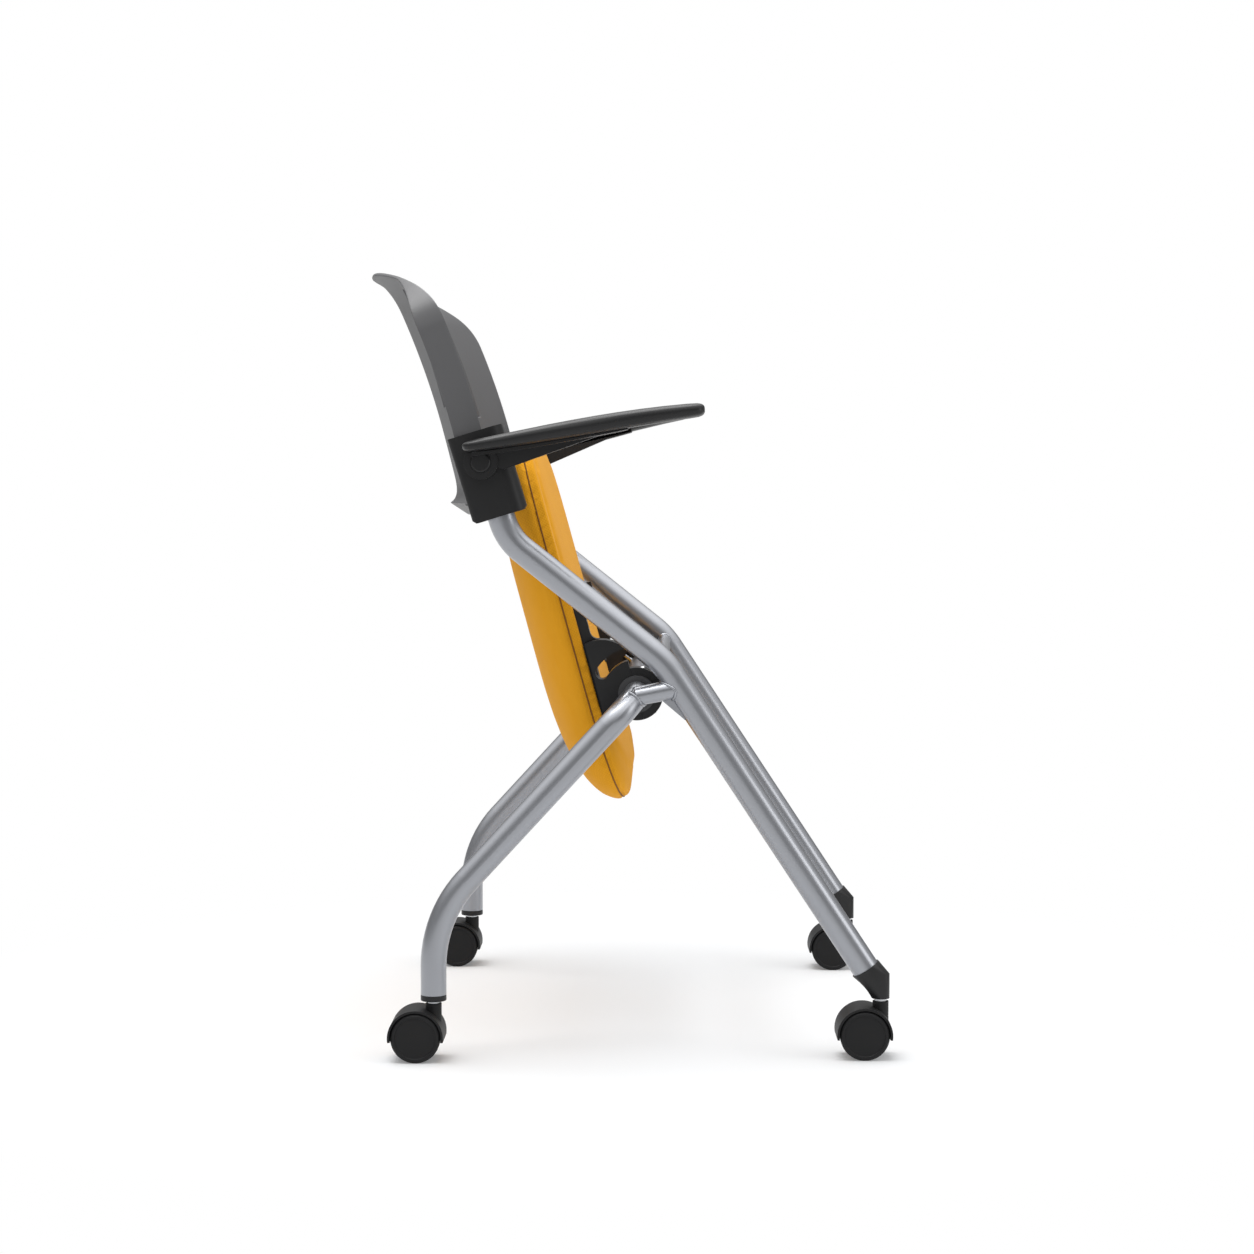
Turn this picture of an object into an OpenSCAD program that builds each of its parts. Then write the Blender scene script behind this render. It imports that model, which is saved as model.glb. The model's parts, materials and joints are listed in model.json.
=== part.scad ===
// Nesting chair: a welded tube frame on four twin-wheel casters, an upholstered
// seat that flips up, a moulded back shell and two arms that fold up.
// +X is the front of the chair, +Y its left side, +Z up, and z = 0 is the floor.
// The solids are drawn with the seat folded up and the arms down.

/* [Seat pivot] */
// Distance of the pivot axis in front of the origin
pivot_x = 17.35; // [10:0.05:25]
// Height of the pivot axis over the floor
pivot_z = 366; // [350:1:385]
// Angle the seat turns from folded up to ready to sit on
flip_angle = 103; // [98:1:106]
// Lean of the folded seat from upright, towards the back
fold_lean = 15.2; // [12:0.1:18]

/* [Main tubes] */
// Outside diameter of the two main tubes
main_od = 28; // [25:0.5:32]
// Wall of the main tubes
main_wall = 2; // [1.5:0.1:3]
// Distance between the centre planes of the main tubes
main_spacing = 500; // [470:2:540]
// Knee of the main tube in front of the pivot axis
knee_ahead = 27.7; // [25:0.1:31]
// Knee of the main tube over the pivot axis
knee_above = 34.1; // [31:0.1:37]
// Slope of the lower run, down to the front
lower_angle = 56.63; // [52:0.01:60]
// Slope of the middle run, up to the back
upper_angle = 38.5; // [34:0.1:43]
// Length of the middle run, corner to corner
upper_run = 200.2; // [180:0.2:220]
// Lean of the upright run from vertical
upright_lean = 17; // [14:0.5:20]
// Length of the upright run, from its corner to the cut end
upright_run = 90; // [80:1:100]
// Centre-line radius of the knee bend
knee_bend_r = 100; // [80:1:120]
// Centre-line radius of the upper bend
upper_bend_r = 60; // [50:1:66]

/* [Rear leg frame] */
// Outside diameter of the rear leg tube
rear_od = 26; // [22:0.5:30]
// Wall of the rear leg tube
rear_wall = 2; // [1.5:0.1:3]
// Distance between the rear legs, centre to centre
rear_spacing = 536; // [520:1:552]
// Slope of the rear legs
rear_angle = 47.3; // [43:0.1:52]
// Height of the leg's lower corner over the end of the tube
stub_h = 78.75; // [70:0.25:90]
// Centre-line radius of the lower bend
rear_bend_r = 128; // [90:1:140]
// Centre-line radius of the elbow at the pivot axis
elbow_r = 40; // [36:1:44]

/* [Braces] */
// Diameter of the link bar between elbow and main tube
link_d = 19.5; // [16:0.5:21]
// Rise of the link bar towards the main tube
link_angle = 11; // [8:0.5:14]
// Thickness of the gusset plate
gusset_t = 4; // [3:0.5:6]
// Visible gusset edge along the link bar
gusset_bar_leg = 9; // [7:0.5:12]
// Visible gusset edge along the main tube
gusset_tube_leg = 25; // [20:1:30]
// Diameter of the cross rod that the seat rests on
rod_d = 12; // [10:0.5:13]

/* [Casters] */
// Height of the faces that the casters carry
caster_h = 60; // [60:0.5:64]
// Wheel diameter
wheel_d = 50; // [46:0.5:50]
// Width of one wheel
wheel_w = 16; // [14:0.5:18]
// Gap between the two wheels of a caster
wheel_gap = 14; // [13:0.5:16]
// Distance of the axle behind the swivel axis
trail = 17; // [15:0.5:19]
// Outside radius of the hood over the wheels
hood_r = 28.1; // [27.6:0.1:29.2]
// Wall of the hood
hood_wall = 2.3; // [2:0.1:2.5]
// Diameter of the swivel boss
boss_d = 16.2; // [15:0.1:18]
// Diameter of the stem in its socket
stem_d = 11; // [10:0.1:12]
// Height of the stem over the carried face
stem_h = 24; // [20:1:26]
// Diameter of the pin that the caster swivels on
swivel_d = 8; // [7:0.1:9]
// Diameter of the axle
axle_d = 6; // [5:0.1:7]

/* [Feet] */
// Height of the main tube's cut end over the front caster
foot_rise = 30.3; // [28:0.1:34]
// Distance of the front swivel axis ahead of the tube's end
foot_ahead = 15.5; // [14:0.1:17]
// Diameter of the foot's collar against the tube
foot_collar_d = 30.6; // [29:0.1:34]
// Diameter of the foot's lower end
foot_end_d = 18.2; // [16:0.1:20]
// Depth of the hollow in the foot's underside
foot_hollow = 2; // [1:0.1:4]
// Thickness of the rear ferrule's flange
ferrule_t = 6; // [4:0.5:8]
// Length of the plugs inside the tubes
plug_l = 26; // [22:1:30]

/* [Seat] */
// Reach of the cushion in front of the pivot axis
seat_front = 299.5; // [285:0.5:312]
// Reach of the cushion behind the pivot axis
seat_rear = 117; // [105:1:122]
// Height of the cushion's underside over the pivot axis
seat_under = 38; // [36:0.5:41]
// Height of the crown over the pivot axis
seat_crown = 97; // [90:0.5:104]
// Height of the side seam over the pivot axis
seam_n = 50; // [48:0.5:53]
// Depth of the sewn seam
seam_depth = 2.2; // [1:0.1:3]
// Extra depth of the roll under the rear edge
rear_roll = 9; // [6:0.5:11]
// Gap between the cushion and each arm sleeve
seat_gap = 6; // [4:0.5:12]
// Draw-in of the cushion's sides between its corners
draw_in = 2.6; // [1:0.1:4]
// Thickness of the seat board
board_t = 12; // [9:0.5:14]
// Foam and cover around the board's edge
board_margin = 18; // [15:0.5:22]
// Foam and cover under the board
board_cover = 4; // [3:0.5:5]

/* [Seat brackets] */
// Width of a seat bracket along the pivot axis
bracket_w = 27; // [24:0.5:30]
// Radius of the bracket's hub
hub_r = 27; // [26:0.5:29]
// Radius of the bracket's front lobe
lobe_r = 35; // [32:0.5:37]
// Reach of the mounting flange in front of the pivot axis
flange_front = 112; // [108:1:120]
// Reach of the mounting flange behind the pivot axis
flange_rear = 30; // [26:1:34]
// Width of the mounting flange
flange_w = 16; // [14:0.5:17]
// Thickness of the mounting flange under the board
flange_t = 12; // [10:0.5:13]
// Wall of the bearing bush
bush_wall = 3; // [2.5:0.1:4]
// Length of the bearing bush inside the hub
bush_l = 18; // [15:0.5:19]
// Diameter of the pin that limits the flip
stop_pin_d = 6; // [5:0.1:7]
// Thickness of the rubber rest pads
pad_t = 3; // [2:0.1:4]

/* [Arm sleeves] */
// Depth of the sleeve, front to back
sleeve_depth = 56; // [52:0.5:60]
// Height of the sleeve along the upright
sleeve_h = 88.3; // [86:0.1:94]
// Bottom of the sleeve above the upper corner of the tube
sleeve_start = 23.4; // [22:0.1:26]
// Wall on the seat's side of the tube
sleeve_inner_wall = 5; // [4.5:0.1:6]
// Wall on the arm's side of the tube
sleeve_outer_wall = 7; // [6:0.1:8]
// Radius of the sleeve's front corners
sleeve_front_r = 15; // [10:0.5:18]
// Radius of the sleeve's rear corners
sleeve_rear_r = 4; // [2:0.5:6]
// Wall between the shell's stile and the sleeve's outer face
pocket_wall = 4.7; // [4:0.1:5.5]

/* [Arms] */
// Reach of the arm pad in front of its pivot
arm_reach = 223; // [205:1:240]
// Rise of the arm pad's front end over its pivot
arm_rise = 58; // [54:0.5:62]
// Angle by which the left arm stands up from its lowest place
left_arm_lift = 4; // [0:0.5:6]
// Width of the arm pad
arm_w = 46; // [42:0.5:50]
// Height of the arm pivot over the sleeve's bottom
arm_pivot_h = 56.7; // [54:0.1:59]
// Thickness of the arm's support plate
support_t = 11.7; // [10:0.1:13]
// Radius of the support plate's hub
arm_hub_r = 17; // [16:0.5:19]
// Diameter of the pivot bolt
bolt_d = 10; // [8:0.1:11]
// Diameter of the round cap over the bolt
cap_d = 20.4; // [20:0.1:22]
// Thickness of the friction washer
washer_t = 1; // [0.8:0.1:1.5]

/* [Back shell] */
// Top of the shell over the floor
shell_top = 805.5; // [790:0.5:830]
// Bottom of the shell over the floor
shell_bottom = 547; // [535:1:556]
// Forward wrap of the shell's sides
shell_wrap = 53; // [45:0.5:60]
// Thickness of the shell's panel
shell_t = 4; // [3:0.1:5]
// Depth of the shell's stiles
stile_depth = 29; // [26:0.5:31]
// Lean of the shell from vertical at the sleeves
shell_lean = 14.35; // [12:0.05:17]
// Radius of the shell's bend towards the back
shell_bend_r = 720; // [600:10:900]
// Height of the top edge that rolls back
roll_h = 41; // [34:0.5:50]
// Depth of the rolled top edge
roll_depth = 18; // [12:0.5:24]
// Height of the rounded top corners and arched top edge
arch_h = 60.5; // [50:0.5:80]
// Width of the side slots at their foot
slot_w = 35; // [25:0.5:38]
// Width of the side slots at their head
slot_head_w = 8; // [5:0.5:15]
// Width of the stile outside the slot
stile_w = 71; // [66:0.5:76]
// Flare of the shell's lower lip
lip_out = 16; // [8:0.5:18]
// Rise of the lower lip towards the back
lip_rise = 14; // [10:0.5:16]

/* [Fits] */
// Radial gap of running fits
run_gap = 0.05; // [0.03:0.01:0.08]
// Gap between faces that move past each other
slide_gap = 0.3; // [0.2:0.05:0.4]
// Gap between fixed pieces that slip together
slip_gap = 0.1; // [0.05:0.01:0.2]

/* [Hidden] */
$fn = 48;
hull_fn = 32;
cut = 1;
bend_lap = 0.5;
bend_swell = 0.1;

silver = [0.62, 0.63, 0.66];
black = [0.13, 0.13, 0.135];
charcoal = [0.3, 0.3, 0.31];
amber = [0.89, 0.63, 0.16];
plywood = [0.76, 0.62, 0.43];
zinc = [0.72, 0.73, 0.75];
rubber = [0.1, 0.1, 0.1];

// Tube lines in side view, as [x, z]
pivot = [pivot_x, pivot_z];
knee = pivot + [knee_ahead, knee_above];
lower_run = (knee[1] - caster_h - foot_rise) / sin(lower_angle);
tube_end = knee + lower_run * [cos(lower_angle), -sin(lower_angle)];
upper_corner = knee + upper_run * [-cos(upper_angle), sin(upper_angle)];
upright_bend = 90 - upright_lean - upper_angle;
knee_bend = lower_angle - upper_angle;
main_y = main_spacing / 2;
main_r = main_od / 2;

rear_end_z = caster_h + ferrule_t;
rear_run = (pivot_z - rear_end_z - stub_h) / sin(rear_angle);
rear_corner = pivot - rear_run * [cos(rear_angle), sin(rear_angle)];
rear_bend = 90 - rear_angle;
rear_y = rear_spacing / 2;
rear_r = rear_od / 2;

function tangent(r, a) = r * tan(a / 2);

// Places of the four casters, as [x, y]
front_x = tube_end[0] + foot_ahead;
rear_x = rear_corner[0];
front_left = [front_x, main_y];
front_right = [front_x, -main_y];
rear_left = [rear_x, rear_y];
rear_right = [rear_x, -rear_y];

// Caster
wheel_r = wheel_d / 2;
neck_h = 2.5;
neck_d = 12;
web_gap = 1;
web_t = wheel_gap - 2 * web_gap;
hood_z = wheel_r;
hood_tip_drop = 4;
hood_w = wheel_gap + 2 * wheel_w;
hub_boss_r = 9;
web_drop = 10;
wheel_edge = 2;
wheel_face_step = 1;
wheel_face_r_share = 0.82;
wheel_bore_share = 0.72;
bore_depth = wheel_w * wheel_bore_share;
swivel_pin_l = 22;

// Seat frame: u runs to the seat's front edge and n out of its face
seat_half = main_y - main_r - sleeve_inner_wall - seat_gap;
cushion_mid = (seat_front - seat_rear) / 2;
cushion_half = (seat_front + seat_rear) / 2;
front_seam_drop = 3;
rear_seam_drop = 7;
roll_start = 8;
roll_run = 60;
cushion_sides = 60;
cushion_corner = 4.6;
top_power = 3;
under_power = 12;
board_n = seat_under + board_cover;

// Seat brackets along the pivot axis
elbow_gap = 4;
bush_flange_t = 2;
bush_flange_r = 19;
bracket_out = rear_y - elbow_r - elbow_gap - bush_flange_t;
bracket_in = bracket_out - bracket_w;
bush_r = rear_r + run_gap + bush_wall;
bush_in = bracket_out - bush_l;
lobe_u = 29;
lobe_n = 29;
flange_fillet = 8;
stop_mid_angle = 90;
stop_reach = 6;
cap_screw_d = 4;
cap_screw_head_d = 7;
cap_screw_head_t = 4;
cap_screw_u = (bush_r + hub_r) / 2;
cap_screw_seat = 10;
cap_screw_l = 24;
split_gap = 0.2;
flange_screw_d = 5;
flange_screw_head_d = 9;
flange_screw_head_t = 3;
flange_screw_u_shares = [0.66, 0.78, 0.9];
flange_screw_bite = 10;

// Cross rod, placed so that the rest pads land on it
rod_u = 29.9;
rod_n = seat_under - pad_t - slide_gap - rod_d / 2;
rod_path_r = norm([rod_u, rod_n]);
rod_path_angle = atan2(rod_n, rod_u);
sit_angle = flip_angle - fold_lean;
rod = pivot + [
    rod_u * sin(sit_angle) - rod_n * cos(sit_angle),
    rod_u * cos(sit_angle) + rod_n * sin(sit_angle)
];
rod_clear = 0.6;
rest_pad_y = 150;
rest_pad_w = 40;
rest_pad_l = 20;

// Arm sleeve, in a frame with v to the front and w up the upright
sleeve_in = main_y - main_r - sleeve_inner_wall;
sleeve_out = main_y + main_r + sleeve_outer_wall;
sleeve_end = sleeve_start + sleeve_h;
sleeve_chamfer = 5;
pocket_floor = upright_run + 1.7;
pocket_rear_wall = 3.5;
pocket_front = 11.5;
pocket_inner_wall = 5.5;
fix_screw_d = 6;
fix_screw_head_d = 10;
fix_screw_head_t = 2.5;
fix_screw_l = 9;
fix_screw_w_shares = [0.2, 0.62];

// Arm
arm_w_axis = sleeve_start + arm_pivot_h;
arm_v_axis = -1.75;
arm_hub_x = upper_corner[0] - arm_w_axis * sin(upright_lean) + arm_v_axis * cos(upright_lean);
arm_hub_z = upper_corner[1] + arm_w_axis * cos(upright_lean) + arm_v_axis * sin(upright_lean);
support_in = sleeve_out + slide_gap + washer_t;
support_out = support_in + support_t;
arm_pad_in = support_in + 0.7 * washer_t;
pad_top_shares = [[-0.083, 0.33], [0.28, 0.63], [0.63, 0.92], [0.994, 1.01]];
pad_under_shares = [[-0.07, 0.16], [0.314, 0.31], [0.673, 0.62], [0.997, 0.776]];
pad_end_shares = [0.0015, 0.006, 0.014, 0.03, 0.07];
pad_stations = 8;
pad_sides = 24;
pad_corner = 3.6;
pad_end_power = 36;
support_front_share = 0.66;
support_rear_share = 0.03;
support_steps = 14;
support_hub_share = 0.15;
support_foot_shares = [[0.555, 0.495], [0.103, -0.118]];
support_flange_w = 33;
support_flange_t = 4;
bolt_head_d = 16;
bolt_head_t = 4;
cap_t = 4.5;
cap_recess = 2.5;
washer_r = 14;
hub_boss_h = 3;

// Back shell
shell_half = sleeve_out - pocket_wall - slide_gap;
tail_half = sleeve_in - 2;
plug_half = sleeve_in + pocket_inner_wall + slide_gap + slip_gap;
wrap_power = 2.2;
stile_ahead = 8.1;
arch_power = 2.5;
arch_root = 0.42;
shell_base = upper_corner + sleeve_end * [-sin(upright_lean), cos(upright_lean)];
plug_z = shell_base[1] - 15.5;
rim_z = shell_base[1] + 8.5;
tail_rows = 6;
plug_rows = 2;
panel_rows = 24;
slot_first_row = tail_rows + plug_rows + 3;
slot_last_row = tail_rows + plug_rows + 22;
shell_rows = tail_rows + plug_rows + panel_rows;
inner_columns = 5;
half_columns = inner_columns + 8;
lip_h = 38;

// Shared shapes

// Round bar that starts along +X. Each bend is [roll, turn, radius]: the bar
// rolls about its own line and then turns towards its +Z side.
module bent_bar(d, legs, bends, i = 0) {
    start = i == 0 ? 0 : bend_lap;
    end = i == len(bends) ? 0 : bend_lap;
    translate([-start, 0, 0])
        rotate([0, 90, 0])
            cylinder(d = d, h = start + legs[i] + end);
    if (i < len(bends)) {
        turn = bends[i][1];
        r = bends[i][2];
        translate([legs[i], 0, 0])
            rotate([bends[i][0], 0, 0]) {
                rotate([90, 90, 0])
                    translate([-r, 0, 0])
                        rotate_extrude(angle = turn)
                            translate([r, 0])
                                circle(d = d + bend_swell);
                translate([r * sin(turn), 0, r * (1 - cos(turn))])
                    rotate([0, -turn, 0])
                        bent_bar(d, legs, bends, i + 1);
            }
    }
}

module bent_tube(od, wall, legs, bends) {
    last = len(legs) - 1;
    open_legs = [for (i = [0 : last]) legs[i] + (i == 0 ? cut : 0) + (i == last ? cut : 0)];
    difference() {
        bent_bar(od, legs, bends);
        translate([-cut, 0, 0])
            bent_bar(od - 2 * wall, open_legs, bends);
    }
}

// Rounded rectangle from [x0, y0] to [x1, y1] with its own radius at each end of X
module rounded_block(x0, x1, y0, y1, r0, r1) {
    for (y = [y0, y1])
        for (end = [[x0, r0, 1], [x1, r1, -1]])
            translate([end[0] + end[2] * end[1], y + (y == y0 ? end[1] : -end[1])])
                circle(r = end[1]);
    translate([x0 + r0, y0])
        square([x1 - r1 - x0 - r0, y1 - y0]);
    translate([x0, y0 + r0])
        square([r0, y1 - y0 - 2 * r0]);
    translate([x1 - r1, y0 + r1])
        square([r1, y1 - y0 - 2 * r1]);
}

// Closed solid through equal rings of points, with a fan over each end
module skin(rings) {
    sides = len(rings[0]);
    last = len(rings) - 1;
    foot = sides * (last + 1);
    points = [each [for (ring = rings) each ring], ring_middle(rings[0]), ring_middle(rings[last])];
    walls = [
        for (i = [0 : last - 1], k = [0 : sides - 1])
            let (a = i * sides + k, b = i * sides + (k + 1) % sides)
                each [[a, a + sides, b], [b, a + sides, b + sides]]
    ];
    floor_fan = [for (k = [0 : sides - 1]) [foot, k, (k + 1) % sides]];
    roof_fan = [
        for (k = [0 : sides - 1])
            [foot + 1, last * sides + (k + 1) % sides, last * sides + k]
    ];
    polyhedron(points = points, faces = concat(walls, floor_fan, roof_fan), convexity = 6);
}

function ring_middle(ring) = [for (axis = [0 : 2]) sum(ring, axis) / len(ring)];
function sum(ring, axis, i = 0) = i < len(ring) ? ring[i][axis] + sum(ring, axis, i + 1) : 0;
function bow(value, power) = sign(value) * pow(abs(value), power);
function clamp(value) = min(1, max(0, value));
function smooth(value) = clamp(value) * clamp(value) * (3 - 2 * clamp(value));
function bezier(p, t) =
    pow(1 - t, 3) * p[0] + 3 * t * pow(1 - t, 2) * p[1] + 3 * t * t * (1 - t) * p[2] + t * t * t * p[3];

// Places the solids of one side: the left side is drawn, the right is its mirror
module side(is_right) {
    mirror([0, is_right ? 1 : 0, 0])
        children();
}

// Extrudes an outline drawn in [x, z] from y0 to y1
module slab(y0, y1) {
    translate([0, y1, 0])
        rotate([90, 0, 0])
            linear_extrude(y1 - y0)
                children();
}

// Frame along the pivot axis with X to the seat's front edge and Z out of its face
module seat_frame() {
    translate([pivot_x, 0, pivot_z])
        rotate([0, -90 - fold_lean, 0])
            children();
}

// Frame on the left upright with X to the front and Z up the tube
module upright_frame(y = main_y) {
    translate([upper_corner[0], y, upper_corner[1]])
        rotate([0, -upright_lean, 0])
            children();
}

// Main tubes

main_legs = [
    lower_run - tangent(knee_bend_r, knee_bend),
    upper_run - tangent(knee_bend_r, knee_bend) - tangent(upper_bend_r, upright_bend),
    upright_run - tangent(upper_bend_r, upright_bend)
];
main_bends = [[0, knee_bend, knee_bend_r], [180, upright_bend, upper_bend_r]];

module on_main_line() {
    translate([tube_end[0], main_y, tube_end[1]])
        rotate([0, lower_angle - 180, 0])
            children();
}

module main_bar() {
    on_main_line()
        bent_bar(main_od, main_legs, main_bends);
}

module main_tube() {
    color(silver)
        difference() {
            on_main_line()
                bent_tube(main_od, main_wall, main_legs, main_bends);
            sleeve_screw_pair(true);
            arm_bolt_hole();
        }
}

// Rear leg frame

rear_legs = [
    stub_h - tangent(rear_bend_r, rear_bend),
    rear_run - tangent(rear_bend_r, rear_bend) - elbow_r,
    rear_spacing - 2 * elbow_r,
    rear_run - tangent(rear_bend_r, rear_bend) - elbow_r,
    stub_h - tangent(rear_bend_r, rear_bend)
];
rear_bends = [
    [180, rear_bend, rear_bend_r],
    [-90, 90, elbow_r],
    [0, 90, elbow_r],
    [90, rear_bend, rear_bend_r]
];

module on_rear_line() {
    translate([rear_x, rear_y, rear_end_z])
        rotate([0, -90, 0])
            children();
}

module rear_bar() {
    on_rear_line()
        bent_bar(rear_od, rear_legs, rear_bends);
}

module rear_leg_frame() {
    color(silver)
        difference() {
            on_rear_line()
                bent_tube(rear_od, rear_wall, rear_legs, rear_bends);
            for (right = [false, true])
                side(right)
                    stop_pin();
        }
}

// Braces

link_out = 3;
link_y = main_y + link_out;
link_gap_angle = 180 - lower_angle - link_angle;
link_start = pivot;
link_offset = knee - link_start;
link_rise = link_offset[1] * cos(link_angle) - link_offset[0] * sin(link_angle);
link_knee_run = link_rise / sin(lower_angle + link_angle);
link_end = knee + link_knee_run * [cos(lower_angle), -sin(lower_angle)];
link_l = norm(link_end - link_start);

module link_solid() {
    translate([link_start[0], link_y, link_start[1]])
        rotate([0, 90 - link_angle, 0])
            cylinder(d = link_d, h = link_l);
}

module link_bar() {
    color(silver)
        difference() {
            link_solid();
            main_bar();
            rear_bar();
        }
}

// Inside corner between the link bar and the main tube
bar_way = [-cos(link_angle), -sin(link_angle)];
tube_way = [cos(lower_angle), -sin(lower_angle)];
gusset_corner = link_end + (main_r * bar_way + link_d / 2 * tube_way) / sin(link_gap_angle);

module gusset() {
    color(silver)
        difference() {
            slab(link_y - gusset_t / 2, link_y + gusset_t / 2)
                polygon([
                    link_end,
                    gusset_corner + gusset_bar_leg * bar_way,
                    gusset_corner + gusset_tube_leg * tube_way
                ]);
            main_bar();
            link_solid();
        }
}

module seat_rest_rod() {
    color(silver)
        difference() {
            translate([rod[0], main_y, rod[1]])
                rotate([90, 0, 0])
                    cylinder(d = rod_d, h = main_spacing);
            main_bar();
            side(true)
                main_bar();
        }
}

// Feet

module stem_socket() {
    translate([0, 0, -cut])
        cylinder(d = stem_d, h = stem_h + cut);
}

// Line of the foot's underside, from the collar to the toe, and its shallow hollow
foot_heel = tube_end - foot_collar_d / 2 * [sin(lower_angle), cos(lower_angle)];
foot_toe = [front_x - foot_end_d / 2, caster_h];
foot_half = norm(foot_toe - foot_heel) / 2;
foot_way = (foot_toe - foot_heel) / (2 * foot_half);
hollow_r = (foot_half * foot_half + foot_hollow * foot_hollow) / (2 * foot_hollow);
hollow_at = (foot_heel + foot_toe) / 2 + (hollow_r - foot_hollow) * [foot_way[1], -foot_way[0]];

module front_foot() {
    toe_x = front_x - tube_end[0];
    color(black)
        translate([tube_end[0], main_y, 0])
            difference() {
                union() {
                    hull() {
                        translate([0, 0, tube_end[1]])
                            rotate([0, 90 + lower_angle, 0])
                                cylinder(d = foot_collar_d, h = cut, $fn = hull_fn);
                        translate([toe_x, 0, caster_h])
                            cylinder(d = foot_end_d, h = 0.82 * foot_rise, $fn = hull_fn);
                    }
                    translate([0, 0, tube_end[1]])
                        rotate([0, lower_angle - 90, 0])
                            cylinder(d = main_od - 2 * main_wall - 2 * slip_gap, h = plug_l);
                }
                translate([toe_x, 0, caster_h])
                    stem_socket();
                translate([hollow_at[0] - tube_end[0], 0, hollow_at[1]])
                    rotate([90, 0, 0])
                        cylinder(r = hollow_r, h = 2 * foot_collar_d, center = true);
            }
}

module rear_ferrule() {
    color(black)
        translate([rear_x, rear_y, caster_h])
            difference() {
                union() {
                    cylinder(d = rear_od, h = ferrule_t);
                    cylinder(d = rear_od - 2 * rear_wall - 2 * slip_gap, h = ferrule_t + plug_l);
                }
                stem_socket();
            }
}

// Casters

module at_caster(place) {
    translate([place[0], place[1], 0])
        children();
}

module caster_stem(place) {
    color(zinc)
        at_caster(place) {
            translate([0, 0, caster_h])
                cylinder(d = stem_d, h = stem_h);
            translate([0, 0, caster_h - neck_h])
                cylinder(d = neck_d, h = neck_h);
            translate([0, 0, caster_h - neck_h - swivel_pin_l])
                cylinder(d = swivel_d, h = swivel_pin_l);
        }
}

module caster_body(place) {
    boss_top = caster_h - neck_h - slide_gap;
    boss_h = boss_top - wheel_r;
    color(black)
        at_caster(place)
            difference() {
                union() {
                    difference() {
                        union() {
                            translate([-trail, 0, 0])
                                slab(-hood_w / 2, hood_w / 2)
                                    hood_outline(hood_r);
                            translate([0, 0, wheel_r])
                                cylinder(d = boss_d, h = boss_h);
                        }
                        for (y0 = [web_t / 2, -web_t / 2 - hood_w])
                            translate([-trail, 0, 0])
                                slab(y0, y0 + hood_w)
                                    hood_outline(hood_r - hood_wall, cut);
                    }
                    translate([-trail, 0, 0])
                        slab(-web_t / 2, web_t / 2)
                            translate([0, wheel_r])
                                circle(r = hub_boss_r);
                }
                translate([0, 0, caster_h - neck_h - swivel_pin_l - slide_gap])
                    cylinder(d = swivel_d + 2 * run_gap, h = caster_h);
                translate([-trail, 0, wheel_r])
                    rotate([90, 0, 0])
                        cylinder(d = axle_d, h = hood_w, center = true);
            }
}

// Side view of the hood: a disc cut off at its tips, which reach down past the axle
module hood_outline(r, more = 0) {
    intersection() {
        translate([0, hood_z])
            circle(r = r);
        translate([-hood_r, hood_z - hood_tip_drop - more])
            square([2 * hood_r, 2 * hood_r]);
    }
}

module caster_axle(place) {
    color(zinc)
        at_caster(place)
            translate([-trail, 0, wheel_r])
                rotate([90, 0, 0])
                    cylinder(d = axle_d, h = wheel_gap + 2 * bore_depth - 2 * slide_gap, center = true);
}

module caster_wheel(place, way) {
    face_r = wheel_r * wheel_face_r_share;
    color(black)
        at_caster(place)
            translate([-trail, way * wheel_gap / 2, wheel_r])
                rotate([-90 * way, 0, 0])
                    rotate_extrude()
                        polygon([
                            [axle_d / 2 + run_gap, 0], [wheel_r - wheel_edge, 0], [wheel_r, wheel_edge],
                            [wheel_r, wheel_w - wheel_edge], [wheel_r - wheel_edge, wheel_w],
                            [face_r, wheel_w], [face_r, wheel_w - wheel_face_step],
                            [0, wheel_w - wheel_face_step], [0, bore_depth],
                            [axle_d / 2 + run_gap, bore_depth]
                        ]);
}

// Seat cushion

function seam_height(u) =
    let (share = (u - cushion_mid) / cushion_half)
        seam_n - (share > 0 ? front_seam_drop : rear_seam_drop) * pow(share, 4);
function under_height(u) = seat_under - rear_roll * smooth((-roll_start - u) / roll_run);
function plan_point(share, angle, inset) =
    let (draw = 1 - draw_in / seat_half * pow(cos(2 * angle), 2))
        [
            cushion_mid + (share * draw * cushion_half - inset) * bow(cos(angle), 2 / cushion_corner),
            (share * draw * seat_half - inset) * bow(sin(angle), 2 / cushion_corner)
        ];
function under_point(share, angle) =
    let (p = plan_point(share, angle, 0), seam = seam_height(p[0]))
        [p[0], p[1], seam - (seam - under_height(p[0])) * sqrt(1 - pow(share, under_power))];
function top_point(share, angle, inset = 0) =
    let (p = plan_point(share, angle, inset))
        [p[0], p[1], seam_height(p[0]) + (seat_crown - seam_n) * sqrt(1 - pow(share, top_power))];

under_shares = [0.3, 0.6, 0.85, 0.95, 0.985];
seam_shares = [[1, 0], [0.9993, 0], [0.9975, 1], [0.995, 0]];
top_shares = [0.985, 0.965, 0.93, 0.88, 0.81, 0.72, 0.6, 0.45, 0.25];

module cushion_form() {
    angles = [for (k = [0 : cushion_sides - 1]) 360 * k / cushion_sides];
    skin([
        for (share = under_shares) [for (angle = angles) under_point(share, angle)],
        for (row = seam_shares) [for (angle = angles) top_point(row[0], angle, row[1] * seam_depth)],
        for (share = top_shares) [for (angle = angles) top_point(share, angle)]
    ]);
}

module board_solid(n0, n1, grow = 0) {
    half = seat_half - board_margin + grow;
    corner_r = cushion_half / 4;
    translate([0, 0, n0])
        linear_extrude(n1 - n0)
            rounded_block(-seat_rear + 2 * board_margin - grow, seat_front - 2 * board_margin + grow,
                -half, half, corner_r, corner_r);
}

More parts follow.
